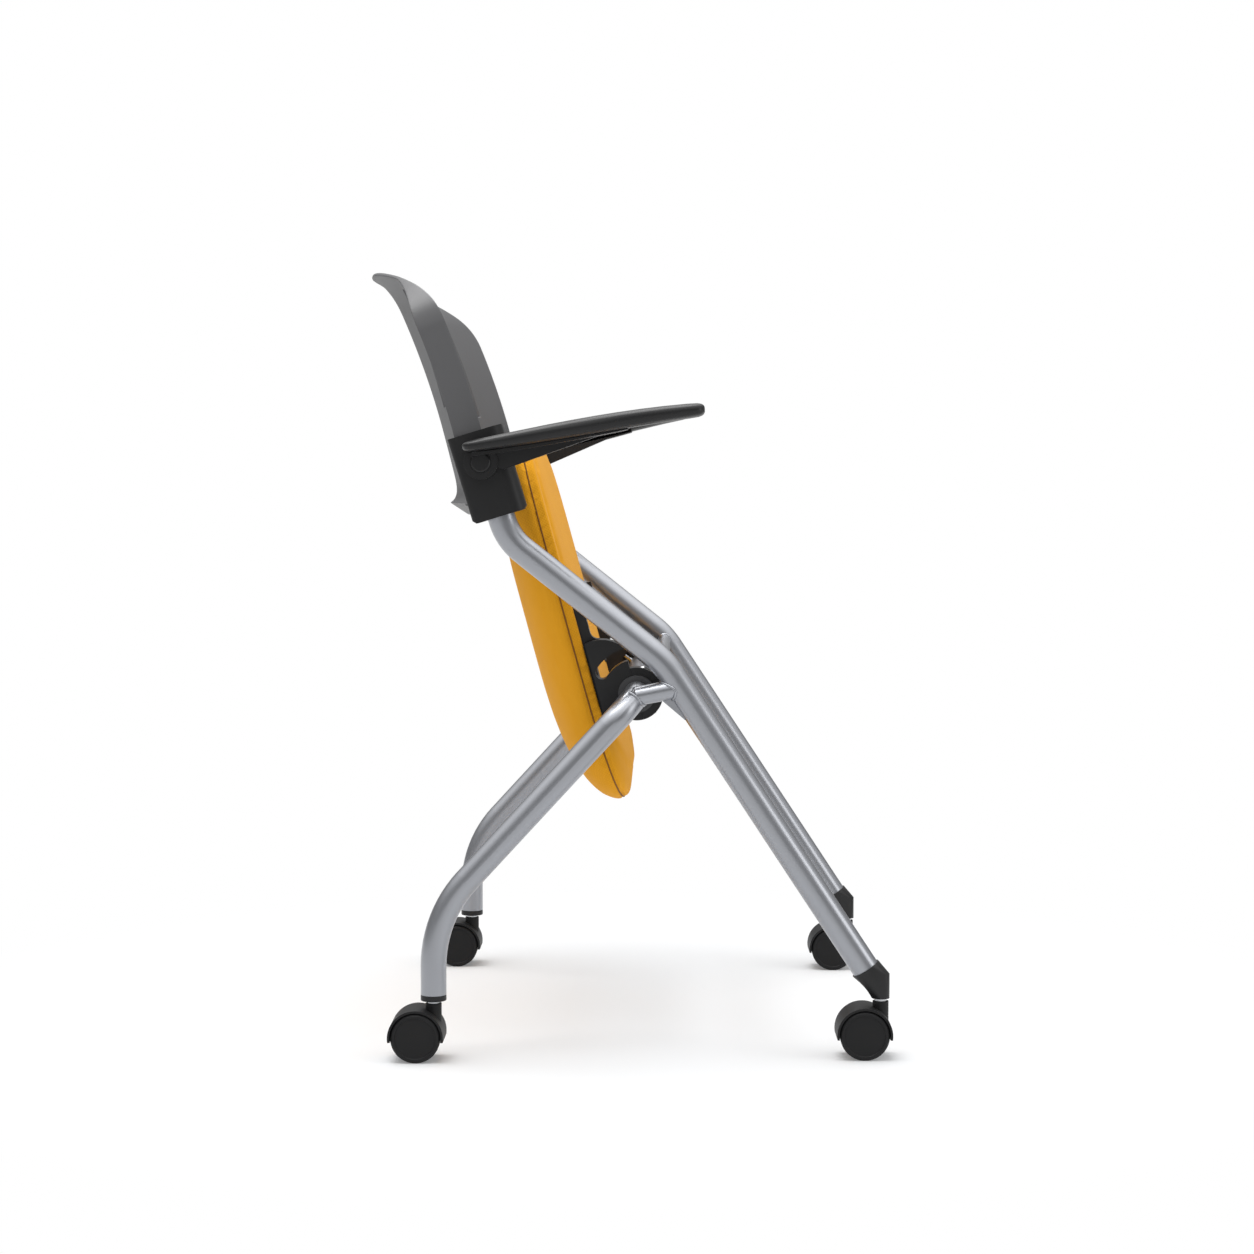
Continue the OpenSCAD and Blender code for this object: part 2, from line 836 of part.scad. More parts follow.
module seat_cushion() {
    color(amber)
        seat_frame()
            difference() {
                cushion_form();
                board_solid(board_n, board_n + board_t, slip_gap);
                for (right = [false, true])
                    side(right)
                        translate([-flange_rear - slip_gap, bracket_in - slip_gap, 0])
                            cube([
                                flange_front + flange_rear + 2 * slip_gap,
                                flange_w + 2 * slip_gap,
                                board_n + cut
                            ]);
            }
}

module seat_board() {
    color(plywood)
        seat_frame()
            difference() {
                board_solid(board_n, board_n + board_t);
                for (right = [false, true])
                    side(right)
                        flange_screws(false);
            }
}

// Seat brackets

module hub_half(upper) {
    intersection() {
        circle(r = hub_r);
        translate([-hub_r, upper ? split_gap / 2 : -hub_r])
            square([2 * hub_r, hub_r - split_gap / 2]);
    }
}

module seat_bracket() {
    color(black)
        seat_frame()
            difference() {
                union() {
                    slab(bracket_in, bracket_out)
                        difference() {
                            union() {
                                hub_half(true);
                                bracket_outline();
                            }
                            translate([-hub_r - lobe_r, seat_under - slip_gap])
                                square([flange_front + 2 * lobe_r, hub_r]);
                        }
                    slab(bracket_in, bracket_in + flange_w)
                        flange_outline();
                }
                bearing_bore();
                stop_notch();
                rod_slot();
                flange_screws(true);
                hub_cap_screw_pair(true);
            }
}

// Web between the hub and the lobe, above the split
module bracket_outline() {
    intersection() {
        hull() {
            circle(r = hub_r, $fn = hull_fn);
            translate([lobe_u, lobe_n])
                circle(r = lobe_r, $fn = hull_fn);
        }
        translate([-hub_r - lobe_r, split_gap / 2])
            square([4 * lobe_r, 4 * lobe_r]);
    }
}

module flange_outline() {
    translate([-flange_rear, board_n - flange_t])
        square([flange_rear + flange_front, flange_t]);
    translate([lobe_u + lobe_r - flange_fillet, board_n - flange_t - flange_fillet])
        difference() {
            square([2 * flange_fillet, flange_fillet + cut]);
            translate([2 * flange_fillet, 0])
                circle(r = flange_fillet);
        }
}

module bearing_bore() {
    translate([0, bracket_out + cut, 0])
        rotate([90, 0, 0])
            cylinder(r = bush_r, h = bracket_w + 2 * cut);
}

// Notch round the bore in which the stop pin travels
module stop_notch() {
    margin = asin((stop_pin_d / 2 + slide_gap) / bush_r);
    start = stop_mid_angle - flip_angle / 2 - margin;
    translate([0, bush_in, 0])
        rotate([90, -start, 0])
            rotate_extrude(angle = flip_angle + 2 * margin)
                translate([bush_r - cut, 0])
                    square([stop_reach + 2 * slide_gap + cut, bush_in - bracket_in + cut]);
}

// Curved slot that lets the bracket swing over the cross rod
module rod_slot() {
    slot_d = rod_d + 2 * rod_clear;
    translate([0, bracket_out + cut, 0])
        rotate([90, -rod_path_angle, 0]) {
            rotate([0, 0, -90])
                rotate_extrude(angle = 90)
                    translate([rod_path_r - slot_d / 2, 0])
                        square([slot_d, bracket_w + 2 * cut]);
            translate([rod_path_r, 0, 0])
                cylinder(d = slot_d, h = bracket_w + 2 * cut);
        }
}

module hub_cap() {
    color(black)
        seat_frame()
            difference() {
                slab(bracket_in, bracket_out)
                    hub_half(false);
                bearing_bore();
                hub_cap_screw_pair(true);
            }
}

module bearing_bush() {
    color(charcoal)
        seat_frame()
            translate([0, bracket_out + bush_flange_t, 0])
                rotate([90, 0, 0])
                    difference() {
                        union() {
                            cylinder(r = bush_r, h = bush_l + bush_flange_t);
                            cylinder(r = bush_flange_r, h = bush_flange_t);
                        }
                        translate([0, 0, -cut])
                            cylinder(r = rear_r + run_gap, h = bush_l + bush_flange_t + 2 * cut);
                    }
}

// Two screws that close the hub, or their holes
module hub_cap_screw_pair(as_hole) {
    grow = as_hole ? slip_gap : 0;
    for (u = [-cap_screw_u, cap_screw_u])
        translate([u, (bracket_in + bracket_out) / 2, -cap_screw_seat]) {
            translate([0, 0, as_hole ? -grow : 0])
                cylinder(d = cap_screw_d + 2 * grow, h = cap_screw_l + 2 * grow);
            translate([0, 0, as_hole ? -hub_r : -cap_screw_head_t])
                cylinder(d = cap_screw_head_d + 2 * grow, h = as_hole ? hub_r : cap_screw_head_t);
        }
}

// Screws from the flange into the board, or their holes
module flange_screws(as_hole) {
    grow = as_hole ? slip_gap : 0;
    seat_n = board_n - flange_t + flange_screw_head_t;
    for (share = flange_screw_u_shares)
        translate([share * flange_front, bracket_in + flange_w / 2, seat_n]) {
            cylinder(d = flange_screw_d + 2 * grow, h = board_n + flange_screw_bite - seat_n);
            translate([0, 0, as_hole ? -flange_t : -flange_screw_head_t])
                cylinder(d = flange_screw_head_d + 2 * grow, h = as_hole ? flange_t : flange_screw_head_t);
        }
}

module bracket_screws() {
    color(zinc)
        seat_frame()
            for (right = [false, true])
                side(right)
                    flange_screws(false);
}

module hub_cap_screws() {
    color(zinc)
        seat_frame()
            for (right = [false, true])
                side(right)
                    hub_cap_screw_pair(false);
}

module seat_rest_pads() {
    color(rubber)
        seat_frame()
            for (y = [-rest_pad_y, rest_pad_y])
                translate([rod_u - rest_pad_l / 2, y - rest_pad_w / 2, seat_under - pad_t])
                    cube([rest_pad_l, rest_pad_w, pad_t]);
}

// Pin across the leg tube that meets the ends of the bracket's notch
module stop_pin() {
    translate([pivot_x, (bracket_in + bush_in) / 2, pivot_z])
        rotate([0, -90 - fold_lean, 0])
            rotate([0, 90 - stop_mid_angle + flip_angle / 2, 0])
                translate([0, 0, rear_r - 2 * rear_wall])
                    cylinder(d = stop_pin_d, h = 2 * rear_wall + bush_wall + stop_reach);
}

module flip_stop_pins() {
    color(zinc)
        for (right = [false, true])
            side(right)
                stop_pin();
}

// Arm sleeves

module arm_sleeve() {
    rear = -sleeve_depth / 2;
    pocket_y = sleeve_in + pocket_inner_wall;
    color(black)
        difference() {
            upright_frame(0)
                difference() {
                    translate([0, 0, sleeve_start])
                        linear_extrude(sleeve_h)
                            rounded_block(rear, -rear, sleeve_in, sleeve_out, sleeve_rear_r, sleeve_front_r);
                    translate([-rear, 0, sleeve_start])
                        rotate([0, 45, 0])
                            cube([sleeve_chamfer, 4 * main_y, sleeve_chamfer], center = true);
                    translate([rear, 0, sleeve_start])
                        rotate([0, 45, 0])
                            cube([sleeve_chamfer, 4 * main_y, sleeve_chamfer], center = true);
                    translate([0, main_y, 0])
                        cylinder(d = main_od + 2 * slip_gap, h = upright_run + slip_gap);
                    translate([rear + pocket_rear_wall, pocket_y, pocket_floor])
                        cube([
                            pocket_front - rear - pocket_rear_wall,
                            sleeve_out - pocket_wall - pocket_y,
                            sleeve_h
                        ]);
                }
            sleeve_screw_pair(true);
            arm_bolt_hole();
        }
}

// Screws from the seat's side of the sleeve into the tube
module sleeve_screw_pair(as_hole) {
    grow = as_hole ? slip_gap : 0;
    over = as_hole ? cut : 0;
    for (share = fix_screw_w_shares)
        upright_frame(sleeve_in)
            translate([0, 0, sleeve_start + share * sleeve_h])
                rotate([-90, 0, 0]) {
                    cylinder(d = fix_screw_d + 2 * grow, h = fix_screw_l + grow);
                    translate([0, 0, -over])
                        cylinder(d = fix_screw_head_d + 2 * grow, h = fix_screw_head_t + over);
                }
}

module sleeve_screws() {
    color(zinc)
        for (right = [false, true])
            side(right)
                sleeve_screw_pair(false);
}

// Arms, drawn in a frame on the left arm's pivot

module arm_frame() {
    translate([arm_hub_x, 0, arm_hub_z])
        children();
}

// Lifts the left arm about its pivot
module lifted() {
    translate([arm_hub_x, 0, arm_hub_z])
        rotate([0, -left_arm_lift, 0])
            translate([-arm_hub_x, 0, -arm_hub_z])
                children();
}

module along_bolt(y) {
    translate([0, y, 0])
        rotate([-90, 0, 0])
            children();
}

module arm_bolt_hole() {
    arm_frame()
        along_bolt(main_y)
            cylinder(d = bolt_d + 2 * slip_gap, h = arm_w);
}

module arm_bolt() {
    head_y = support_out - bolt_head_t - slide_gap;
    color(zinc)
        arm_frame() {
            along_bolt(main_y)
                cylinder(d = bolt_d, h = head_y - main_y);
            along_bolt(head_y)
                cylinder(d = bolt_head_d, h = bolt_head_t);
        }
}

module arm_washer() {
    color(zinc)
        arm_frame()
            along_bolt(support_in - washer_t)
                difference() {
                    cylinder(r = washer_r, h = washer_t);
                    translate([0, 0, -cut])
                        cylinder(d = bolt_d + 2 * run_gap, h = washer_t + 2 * cut);
                }
}

function arm_point(share) = [share[0] * arm_reach, share[1] * arm_rise];
function pad_top(t) = arm_point(bezier(pad_top_shares, t));
function pad_under(t) = arm_point(bezier(pad_under_shares, t));

module arm_support() {
    span = support_front_share - support_rear_share;
    edge = [
        for (i = [0 : support_steps])
            pad_under(support_rear_share + span * i / support_steps) - [0, slide_gap]
    ];
    lower = [for (share = support_foot_shares) arm_point(share)];
    under_hub = [
        for (i = [0 : support_steps])
            pad_under(support_hub_share * i / support_steps) - [0, 2 * slide_gap]
    ];
    color(black)
        arm_frame()
            difference() {
                union() {
                    slab(support_in, support_out) {
                        polygon([each edge, each lower, [0, 0]]);
                        circle(r = arm_hub_r);
                    }
                    slab(support_in, support_in + support_flange_w)
                        polygon([
                            each edge,
                            for (i = [support_steps : -1 : 0])
                                edge[i] - [0, support_flange_t * sqrt(1 - i / (support_steps + 1))]
                        ]);
                    along_bolt(support_in)
                        cylinder(r = arm_hub_r, h = support_t + hub_boss_h);
                }
                along_bolt(support_in - cut)
                    cylinder(d = bolt_d + 2 * run_gap, h = support_t + 2 * cut);
                along_bolt(support_out - bolt_head_t - 2 * slide_gap)
                    cylinder(d = bolt_head_d + 2 * slide_gap, h = support_t);
                along_bolt(support_out + hub_boss_h - cap_recess)
                    cylinder(d = cap_d + 2 * slip_gap, h = support_t);
                slab(support_in - cut, support_in + arm_w)
                    polygon([
                        [-2 * arm_hub_r, under_hub[0][1]],
                        each under_hub,
                        [under_hub[support_steps][0], arm_rise],
                        [-2 * arm_hub_r, arm_rise]
                    ]);
            }
}

module arm_cap() {
    rim = cap_t / 3;
    color(black)
        arm_frame()
            along_bolt(support_out + hub_boss_h - cap_recess)
                rotate_extrude()
                    polygon([
                        [0, 0], [cap_d / 2, 0], [cap_d / 2, cap_t - rim],
                        [cap_d / 2 - rim, cap_t], [0, cap_t]
                    ]);
}

function end_scale(t) = pow(1 - pow(abs(2 * t - 1), pad_end_power), 0.4);
function pad_ring(t) =
    let (
        top = pad_top(t),
        under = pad_under(t),
        middle = (top + under) / 2,
        reach = (top - under) / 2,
        size = end_scale(t)
    )
        [
            for (k = [0 : pad_sides - 1])
                let (
                    angle = 360 * k / pad_sides,
                    across = size * arm_w / 2 * bow(cos(angle), 2 / pad_corner),
                    up = size * bow(sin(angle), 2 / pad_corner)
                )
                    [middle[0] + up * reach[0], arm_pad_in + arm_w / 2 + across, middle[1] + up * reach[1]]
        ];

module arm_pad() {
    first = pad_end_shares[len(pad_end_shares) - 1];
    stations = [
        each pad_end_shares,
        for (i = [1 : pad_stations]) first + (1 - 2 * first) * i / (pad_stations + 1),
        for (i = [len(pad_end_shares) - 1 : -1 : 0]) 1 - pad_end_shares[i]
    ];
    color(black)
        arm_frame()
            skin([for (t = stations) pad_ring(t)]);
}

// Back shell

function shell_line(z) =
    let (h = z - shell_base[1], above = max(0, h), rise = clamp((z - shell_top + roll_h) / roll_h))
        shell_base[0] + stile_ahead - shell_wrap - h * tan(shell_lean) - above * above / (2 * shell_bend_r)
            - roll_depth * (1 - sqrt(1 - rise * rise));
function shell_edge(y) =
    shell_top - arch_h + arch_h * pow(1 - pow(abs(y) / shell_half, arch_power), arch_root);
function slot_in(row) =
    let (share = clamp((row - slot_first_row) / (slot_last_row - slot_first_row)))
        shell_half - stile_w - slot_w - (slot_head_w - slot_w) * share;
function column_y(k, row) =
    let (
        out = shell_half - stile_w,
        outer = [slot_in(row), out, (out + tail_half) / 2, tail_half, plug_half,
            (2 * plug_half + shell_half) / 3, (plug_half + 2 * shell_half) / 3,
            (plug_half + 8 * shell_half) / 9, shell_half]
    )
        k < inner_columns ? slot_in(row) * k / inner_columns : outer[k - inner_columns];
function row_z(row, y) =
    row <= tail_rows
        ? shell_bottom + (plug_z - shell_bottom) * pow(row / tail_rows, 1.3)
        : row <= tail_rows + plug_rows
            ? plug_z + (rim_z - plug_z) * (row - tail_rows) / plug_rows
            : rim_z + (shell_edge(y) - rim_z) * (row - tail_rows - plug_rows) / panel_rows;
function shell_front(column, row) =
    let (
        y = sign(column) * column_y(abs(column), row),
        z = row_z(row, y)
    )
        [shell_line(z) + shell_wrap * pow(abs(y) / shell_half, wrap_power), y, z];
function shell_rear(column, row) =
    let (
        p = shell_front(column, row),
        slope = shell_line(p[2]) - shell_line(p[2] - 1),
        stile = clamp((abs(p[1]) - shell_half + stile_w) / stile_w),
        depth = shell_t + (stile_depth - shell_t) * pow(stile, 1.5),
        lip = pow(1 - clamp((p[2] - shell_bottom) / lip_h), 2),
        way = depth / sqrt(1 + slope * slope)
    )
        [p[0] - way - lip_out * lip, p[1], p[2] + way * slope + lip_rise * lip];
function shell_cell(column, row) =
    let (k = column < 0 ? -column - 1 : column)
        k < half_columns && row >= 0 && row < shell_rows
            && !(k == inner_columns && row >= slot_first_row && row < slot_last_row)
            && (row >= tail_rows + plug_rows
                || k < inner_columns + 3
                || (k > inner_columns + 3 && row >= tail_rows));

module back_shell() {
    columns = [-half_columns : half_columns];
    wide = 2 * half_columns + 1;
    count = wide * (shell_rows + 1);
    points = [
        for (row = [0 : shell_rows], column = columns) shell_front(column, row),
        for (row = [0 : shell_rows], column = columns) shell_rear(column, row)
    ];
    cells = [
        for (row = [0 : shell_rows - 1], column = [-half_columns : half_columns - 1])
            if (shell_cell(column, row)) [column, row]
    ];
    faces = [
        for (cell = cells)
            let (
                a = cell[1] * wide + cell[0] + half_columns,
                b = a + 1,
                c = b + wide,
                d = a + wide,
                edges = [
                    if (!shell_cell(cell[0], cell[1] - 1)) [a, b],
                    if (!shell_cell(cell[0] + 1, cell[1])) [b, c],
                    if (!shell_cell(cell[0], cell[1] + 1)) [c, d],
                    if (!shell_cell(cell[0] - 1, cell[1])) [d, a]
                ]
            )
                each [
                    [a, c, b], [a, d, c],
                    [a + count, b + count, c + count], [a + count, c + count, d + count],
                    for (edge = edges) each [
                        [edge[0], edge[1], edge[1] + count],
                        [edge[0], edge[1] + count, edge[0] + count]
                    ]
                ]
    ];
    color(charcoal)
        polyhedron(points = points, faces = faces, convexity = 8);
}

main_tube();  // left_main_tube
side(true) main_tube();  // right_main_tube
rear_leg_frame();
seat_rest_rod();
link_bar();  // left_link_bar
side(true) link_bar();  // right_link_bar
gusset();  // left_gusset
side(true) gusset();  // right_gusset
back_shell();
arm_sleeve();  // left_arm_sleeve
side(true) arm_sleeve();  // right_arm_sleeve
sleeve_screws();
front_foot();  // left_front_foot
side(true) front_foot();  // right_front_foot
rear_ferrule();  // left_rear_ferrule
side(true) rear_ferrule();  // right_rear_ferrule
flip_stop_pins();
arm_bolt();  // left_arm_bolt
side(true) arm_bolt();  // right_arm_bolt
caster_stem(front_left);  // front_left_stem
caster_stem(front_right);  // front_right_stem
caster_stem(rear_left);  // rear_left_stem
caster_stem(rear_right);  // rear_right_stem
seat_cushion();
seat_board();
seat_bracket();  // left_seat_bracket
side(true) seat_bracket();  // right_seat_bracket
hub_cap();  // left_hub_cap
side(true) hub_cap();  // right_hub_cap
bearing_bush();  // left_bearing_bush
side(true) bearing_bush();  // right_bearing_bush
bracket_screws();
hub_cap_screws();
seat_rest_pads();
lifted() arm_pad();  // left_arm_pad
lifted() arm_support();  // left_arm_support
lifted() arm_cap();  // left_arm_cap
lifted() arm_washer();  // left_arm_washer
side(true) arm_pad();  // right_arm_pad
side(true) arm_support();  // right_arm_support
side(true) arm_cap();  // right_arm_cap
side(true) arm_washer();  // right_arm_washer
caster_body(front_left);  // front_left_caster_body
caster_axle(front_left);  // front_left_axle
caster_wheel(front_left, 1);  // front_left_outer_wheel
caster_wheel(front_left, -1);  // front_left_inner_wheel
caster_body(front_right);  // front_right_caster_body
caster_axle(front_right);  // front_right_axle
caster_wheel(front_right, -1);  // front_right_outer_wheel
caster_wheel(front_right, 1);  // front_right_inner_wheel
caster_body(rear_left);  // rear_left_caster_body
caster_axle(rear_left);  // rear_left_axle
caster_wheel(rear_left, 1);  // rear_left_outer_wheel
caster_wheel(rear_left, -1);  // rear_left_inner_wheel
caster_body(rear_right);  // rear_right_caster_body
caster_axle(rear_right);  // rear_right_axle
caster_wheel(rear_right, -1);  // rear_right_outer_wheel
caster_wheel(rear_right, 1);  // rear_right_inner_wheel
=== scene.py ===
"""Looks of a nesting chair: satin tubes, moulded plastic, an upholstered seat and a studio.

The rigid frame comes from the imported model. This script adds the soft seat, the smooth
mouldings, the welds, the finishes, the stage and the camera. Lengths are in metres.
"""

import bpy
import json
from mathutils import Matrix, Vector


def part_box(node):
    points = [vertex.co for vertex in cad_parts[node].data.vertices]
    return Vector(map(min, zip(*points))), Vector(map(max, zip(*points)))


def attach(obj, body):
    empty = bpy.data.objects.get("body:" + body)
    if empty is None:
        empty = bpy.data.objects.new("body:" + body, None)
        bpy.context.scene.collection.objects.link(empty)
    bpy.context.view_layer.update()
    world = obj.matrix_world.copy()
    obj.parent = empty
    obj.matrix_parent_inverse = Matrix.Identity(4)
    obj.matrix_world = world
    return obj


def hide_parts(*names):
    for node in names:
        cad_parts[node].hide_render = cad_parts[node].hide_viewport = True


bl_info = {
    "name": "Nesting Chair",
    "version": (1, 0, 0),
    "blender": (4, 5, 0),
    "location": "View3D > Sidebar > Chair",
    "description": "Builds the looks of a nesting chair round its packed frame",
    "category": "Add Mesh",
}

import json
import math

import bmesh
import bpy
import numpy as np
from bpy.props import FloatProperty, FloatVectorProperty, PointerProperty
from mathutils import Vector
from mathutils.bvhtree import BVHTree

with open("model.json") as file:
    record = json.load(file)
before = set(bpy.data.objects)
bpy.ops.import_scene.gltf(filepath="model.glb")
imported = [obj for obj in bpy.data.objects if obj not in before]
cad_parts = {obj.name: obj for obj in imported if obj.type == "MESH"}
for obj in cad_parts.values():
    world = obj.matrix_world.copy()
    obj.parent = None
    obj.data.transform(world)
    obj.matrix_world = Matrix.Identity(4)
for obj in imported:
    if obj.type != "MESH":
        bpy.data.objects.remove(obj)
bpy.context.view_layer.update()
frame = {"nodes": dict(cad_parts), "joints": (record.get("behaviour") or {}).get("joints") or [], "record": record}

# Seat pivot, and how far the folded seat leans back from upright
PIVOT = Vector(next(j["pos_m"] for j in frame["joints"] if j["name"] == "seat_flip"))
FOLD_LEAN = math.radians(15.2)
SEAT_TURN = math.pi / 2 + FOLD_LEAN
SIDES = {"left": 1, "right": -1}
CORNERS = ("front_left", "front_right", "rear_left", "rear_right")

# Clean-up of the frame's meshes before their edges are rounded
MERGE_DISTANCE = 1e-5
FLAT_ANGLE = math.radians(0.6)
GRID_ANGLE = math.radians(40)
SHELL_EDGE = 0.0014
SHELL_EDGE_DEGREES = 50
SHELL_LEVELS = 2
MOULDED_DEGREES = 32
PAD_DEGREES = 60
WHEEL_ROUND_SHARE = 0.8
BEVEL_SEGMENTS = 2

# Depth of the finest relief of plastics and of the weave
GRAIN_RELIEF = 0.00015
WEAVE_RELIEF = 0.0003

# Thread along the seam, its dark colour painted shade of the seam's crease: points round the seam, radius, height
# over the cover and points averaged
THREAD_POINTS = 240
THREAD_RADIUS = 0.0009
THREAD_LIFT = 0.0005
THREAD_SPREAD = 5

# Cloth that fills the cover
COVER_INSET = 0.001
PRESSURE = 2.5
CLOTH_QUALITY = 4
CLOTH_MASS = 0.25
CLOTH_FRAMES = 20
INWARD_HELD = 0.8

# Weld beads: rays round each bar, how many must meet the tube, and the ripple of the bead
WELD_RAYS = 40
WELD_RAYS_NEEDED = 30
WELD_REACH = 0.2
WELD_RIPPLE = 0.12
WELD_RIPPLE_STEP = 2.4
LINK_BAR_RADIUS = 0.00975
LINK_BAR_SLOPE = math.radians(11)
REST_ROD_RADIUS = 0.006
REST_ROD_START = 0.15

# Stage
FLOOR_RADIUS = 9.0
FLOOR_COLOR = (0.845, 0.855, 0.866, 1)
FLOOR_FADE = (0.2, 0.85)
WALL_MIDDLE = 0.08
WALL_FADE = (0.15, 0.8)
CEILING_LIGHT = 2.2
CAMERA_PLACE = (0.04315, -2.8844, 0.5728)
CAMERA_DOWN, CAMERA_TURN = math.radians(2.977), math.radians(0.768)


class ChairFinishes(bpy.types.PropertyGroup):
    """Colours of the chair, as linear values"""

    tube: FloatVectorProperty(
        name="Tubes", description="Satin silver paint of the tubes",
        subtype="COLOR", size=3,
        default=(0.33, 0.34, 0.365), min=0, max=1,
    )
    plastic: FloatVectorProperty(
        name="Black plastic", description="Arms, sleeves, brackets and feet",
        subtype="COLOR", size=3,
        default=(0.0105, 0.0105, 0.011), min=0, max=1,
    )
    shell: FloatVectorProperty(
        name="Back shell", description="Charcoal of the back shell",
        subtype="COLOR", size=3,
        default=(0.1, 0.1, 0.103), min=0, max=1,
    )
    fabric: FloatVectorProperty(
        name="Fabric", description="Main yarn of the seat cover",
        subtype="COLOR", size=3,
        default=(0.8, 0.375, 0.018), min=0, max=1,
    )
    # Darker copy of the yarn colour: random flecks of the cover, and painted shade where the weave lies low
    fabric_flecks_and_painted_shade: FloatVectorProperty(
        name="Fabric shade", description="Deeper yarn of the seat cover",
        subtype="COLOR", size=3,
        default=(0.63, 0.265, 0.009), min=0, max=1,
    )
    # The thread's dark brown is painted shade along the seam's crease
    thread: FloatVectorProperty(
        name="Seam thread", description="Thread in the seam of the cover",
        subtype="COLOR", size=3,
        default=(0.2, 0.075, 0.006), min=0, max=1,
    )


class ChairSizes(bpy.types.PropertyGroup):
    """Sizes that the looks add to the frame"""

    weave_pitch: FloatProperty(
        name="Weave pitch", description="Distance between two yarns",
        unit="LENGTH", default=0.0016, min=0.0004,
    )
    seam_width: FloatProperty(
        name="Seam width", description="Width of the sewn channel",
        unit="LENGTH", default=0.0028, min=0.001,
    )
    seam_depth: FloatProperty(
        name="Seam depth", description="Depth of the sewn channel",
        unit="LENGTH", default=0.0022, min=0.0,
    )
    cloth_grid: FloatProperty(
        name="Cloth grid", description="Grid size of the cushion's cloth",
        unit="LENGTH", default=0.0048, min=0.004,
    )
    cloth_travel: FloatProperty(
        name="Cloth travel", description="Most that the filling may move the cover",
        unit="LENGTH", default=0.003,
        min=0.0,
    )
    edge_round: FloatProperty(
        name="Edge round", description="Rounding of moulded edges",
        unit="LENGTH", default=0.0009, min=0.0,
    )
    weld_width: FloatProperty(
        name="Weld width", description="Width of the weld beads",
        unit="LENGTH", default=0.0032, min=0.001,
    )


class ChairStage(bpy.types.PropertyGroup):
    """Light, floor and camera"""

    ambient: FloatProperty(
        name="Ambient", description="Strength of the even light from all round",
        default=0.66, min=0,
    )
    key_power: FloatProperty(
        name="Key power", description="Power of the large lamp overhead",
        unit="POWER", default=62, min=0,
    )
    fill_power: FloatProperty(
        name="Fill power", description="Power of the lamp in front of the chair",
        unit="POWER", default=8, min=0,
    )
    dark_band: FloatProperty(
        name="Dark band", description="Brightness of the dim walls that metal reflects",
        default=0.27, min=0, max=1,
    )
    lens: FloatProperty(
        name="Lens", description="Focal length on a 36 mm sensor",
        unit="CAMERA", default=75.26, min=10,
    )


# Small mesh tools


def new_piece(name, points, faces, body, material):
    """A mesh object that rides on a body and takes its finish from a slot."""
    mesh = bpy.data.meshes.new(name)
    mesh.from_pydata([tuple(p) for p in points], [], faces)
    return finished_piece(name, mesh, body, material)


def finished_piece(name, mesh, body, material, smooth=True):
    """An object of a mesh with one material, which rides on a body."""
    mesh.validate()
    if smooth:
        mesh.shade_smooth()
    mesh.materials.clear()
    mesh.materials.append(material)
    piece = bpy.data.objects.new(name, mesh)
    bpy.context.scene.collection.objects.link(piece)
    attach(piece, body)
    return piece


def outward(mesh):
    """Turns all faces of a closed mesh to face out."""
    shape = bmesh.new()
    shape.from_mesh(mesh)
    bmesh.ops.recalc_face_normals(shape, faces=shape.faces)
    shape.to_mesh(mesh)
    shape.free()


def loft_faces(rings, sides):
    """Faces over equal rings of points, closed at both ends by a fan over one more point."""
    last = (rings - 1) * sides
    foot, roof = rings * sides, rings * sides + 1
    faces = []
    for ring in range(rings - 1):
        for k in range(sides):
            a, b = ring * sides + k, ring * sides + (k + 1) % sides
            faces.append((a, b, b + sides, a + sides))
    for k in range(sides):
        faces.append((foot, (k + 1) % sides, k))
        faces.append((roof, last + k, last + (k + 1) % sides))
    return faces


def bead_points(path, radius, sides, swell=None):
    """Rings of a round bead along a closed path, with an optional radius factor for each point."""
    rings = []
    normal = None
    for i, here in enumerate(path):
        way = (path[(i + 1) % len(path)] - path[i - 1]).normalized()
        if normal is None:
            normal = way.orthogonal().normalized()
        normal = (normal - way * normal.dot(way)).normalized()
        side = way.cross(normal)
        size = radius * (swell[i] if swell else 1)
        for k in range(sides):
            angle = math.tau * k / sides
            rings.append(here + size * (math.cos(angle) * normal + math.sin(angle) * side))
    return rings


def bead_mesh(name, path, radius, sides, swell=None):
    """A closed bead, such as a thread or a weld."""
    count = len(path)
    faces = []
    for ring in range(count):
        for k in range(sides):
            a, b = ring * sides + k, ring * sides + (k + 1) % sides
            c, d = (b + sides) % (count * sides), (a + sides) % (count * sides)
            faces.append((a, b, c, d))
    mesh = bpy.data.meshes.new(name)
    mesh.from_pydata([tuple(p) for p in bead_points(path, radius, sides, swell)], [], faces)
    outward(mesh)
    return mesh


def smooth_by_angle(mesh, degrees):
    """Smooth faces, with sharp edges where two faces meet at a larger angle."""
    mesh.shade_smooth()
    shape = bmesh.new()
    shape.from_mesh(mesh)
    limit = math.radians(degrees)
    for edge in shape.edges:
        edge.smooth = len(edge.link_faces) == 2 and edge.calc_face_angle(0) < limit
    shape.to_mesh(mesh)
    shape.free()


def node_shape(node):
    """The mesh of a frame node for editing, with its doubled points merged."""
    shape = bmesh.new()
    shape.from_mesh(frame["nodes"][node].data)
    bmesh.ops.remove_doubles(shape, verts=shape.verts, dist=MERGE_DISTANCE)
    return shape


def mesh_of(shape, name):
    mesh = bpy.data.meshes.new(name)
    shape.to_mesh(mesh)
    shape.free()
    return mesh


def add_bevel(piece, width, degrees):
    bevel = piece.modifiers.new("Rounded edges", "BEVEL")
    bevel.width = width
    bevel.segments = BEVEL_SEGMENTS
    bevel.limit_method = "ANGLE"
    bevel.angle_limit = math.radians(degrees)
    return bevel


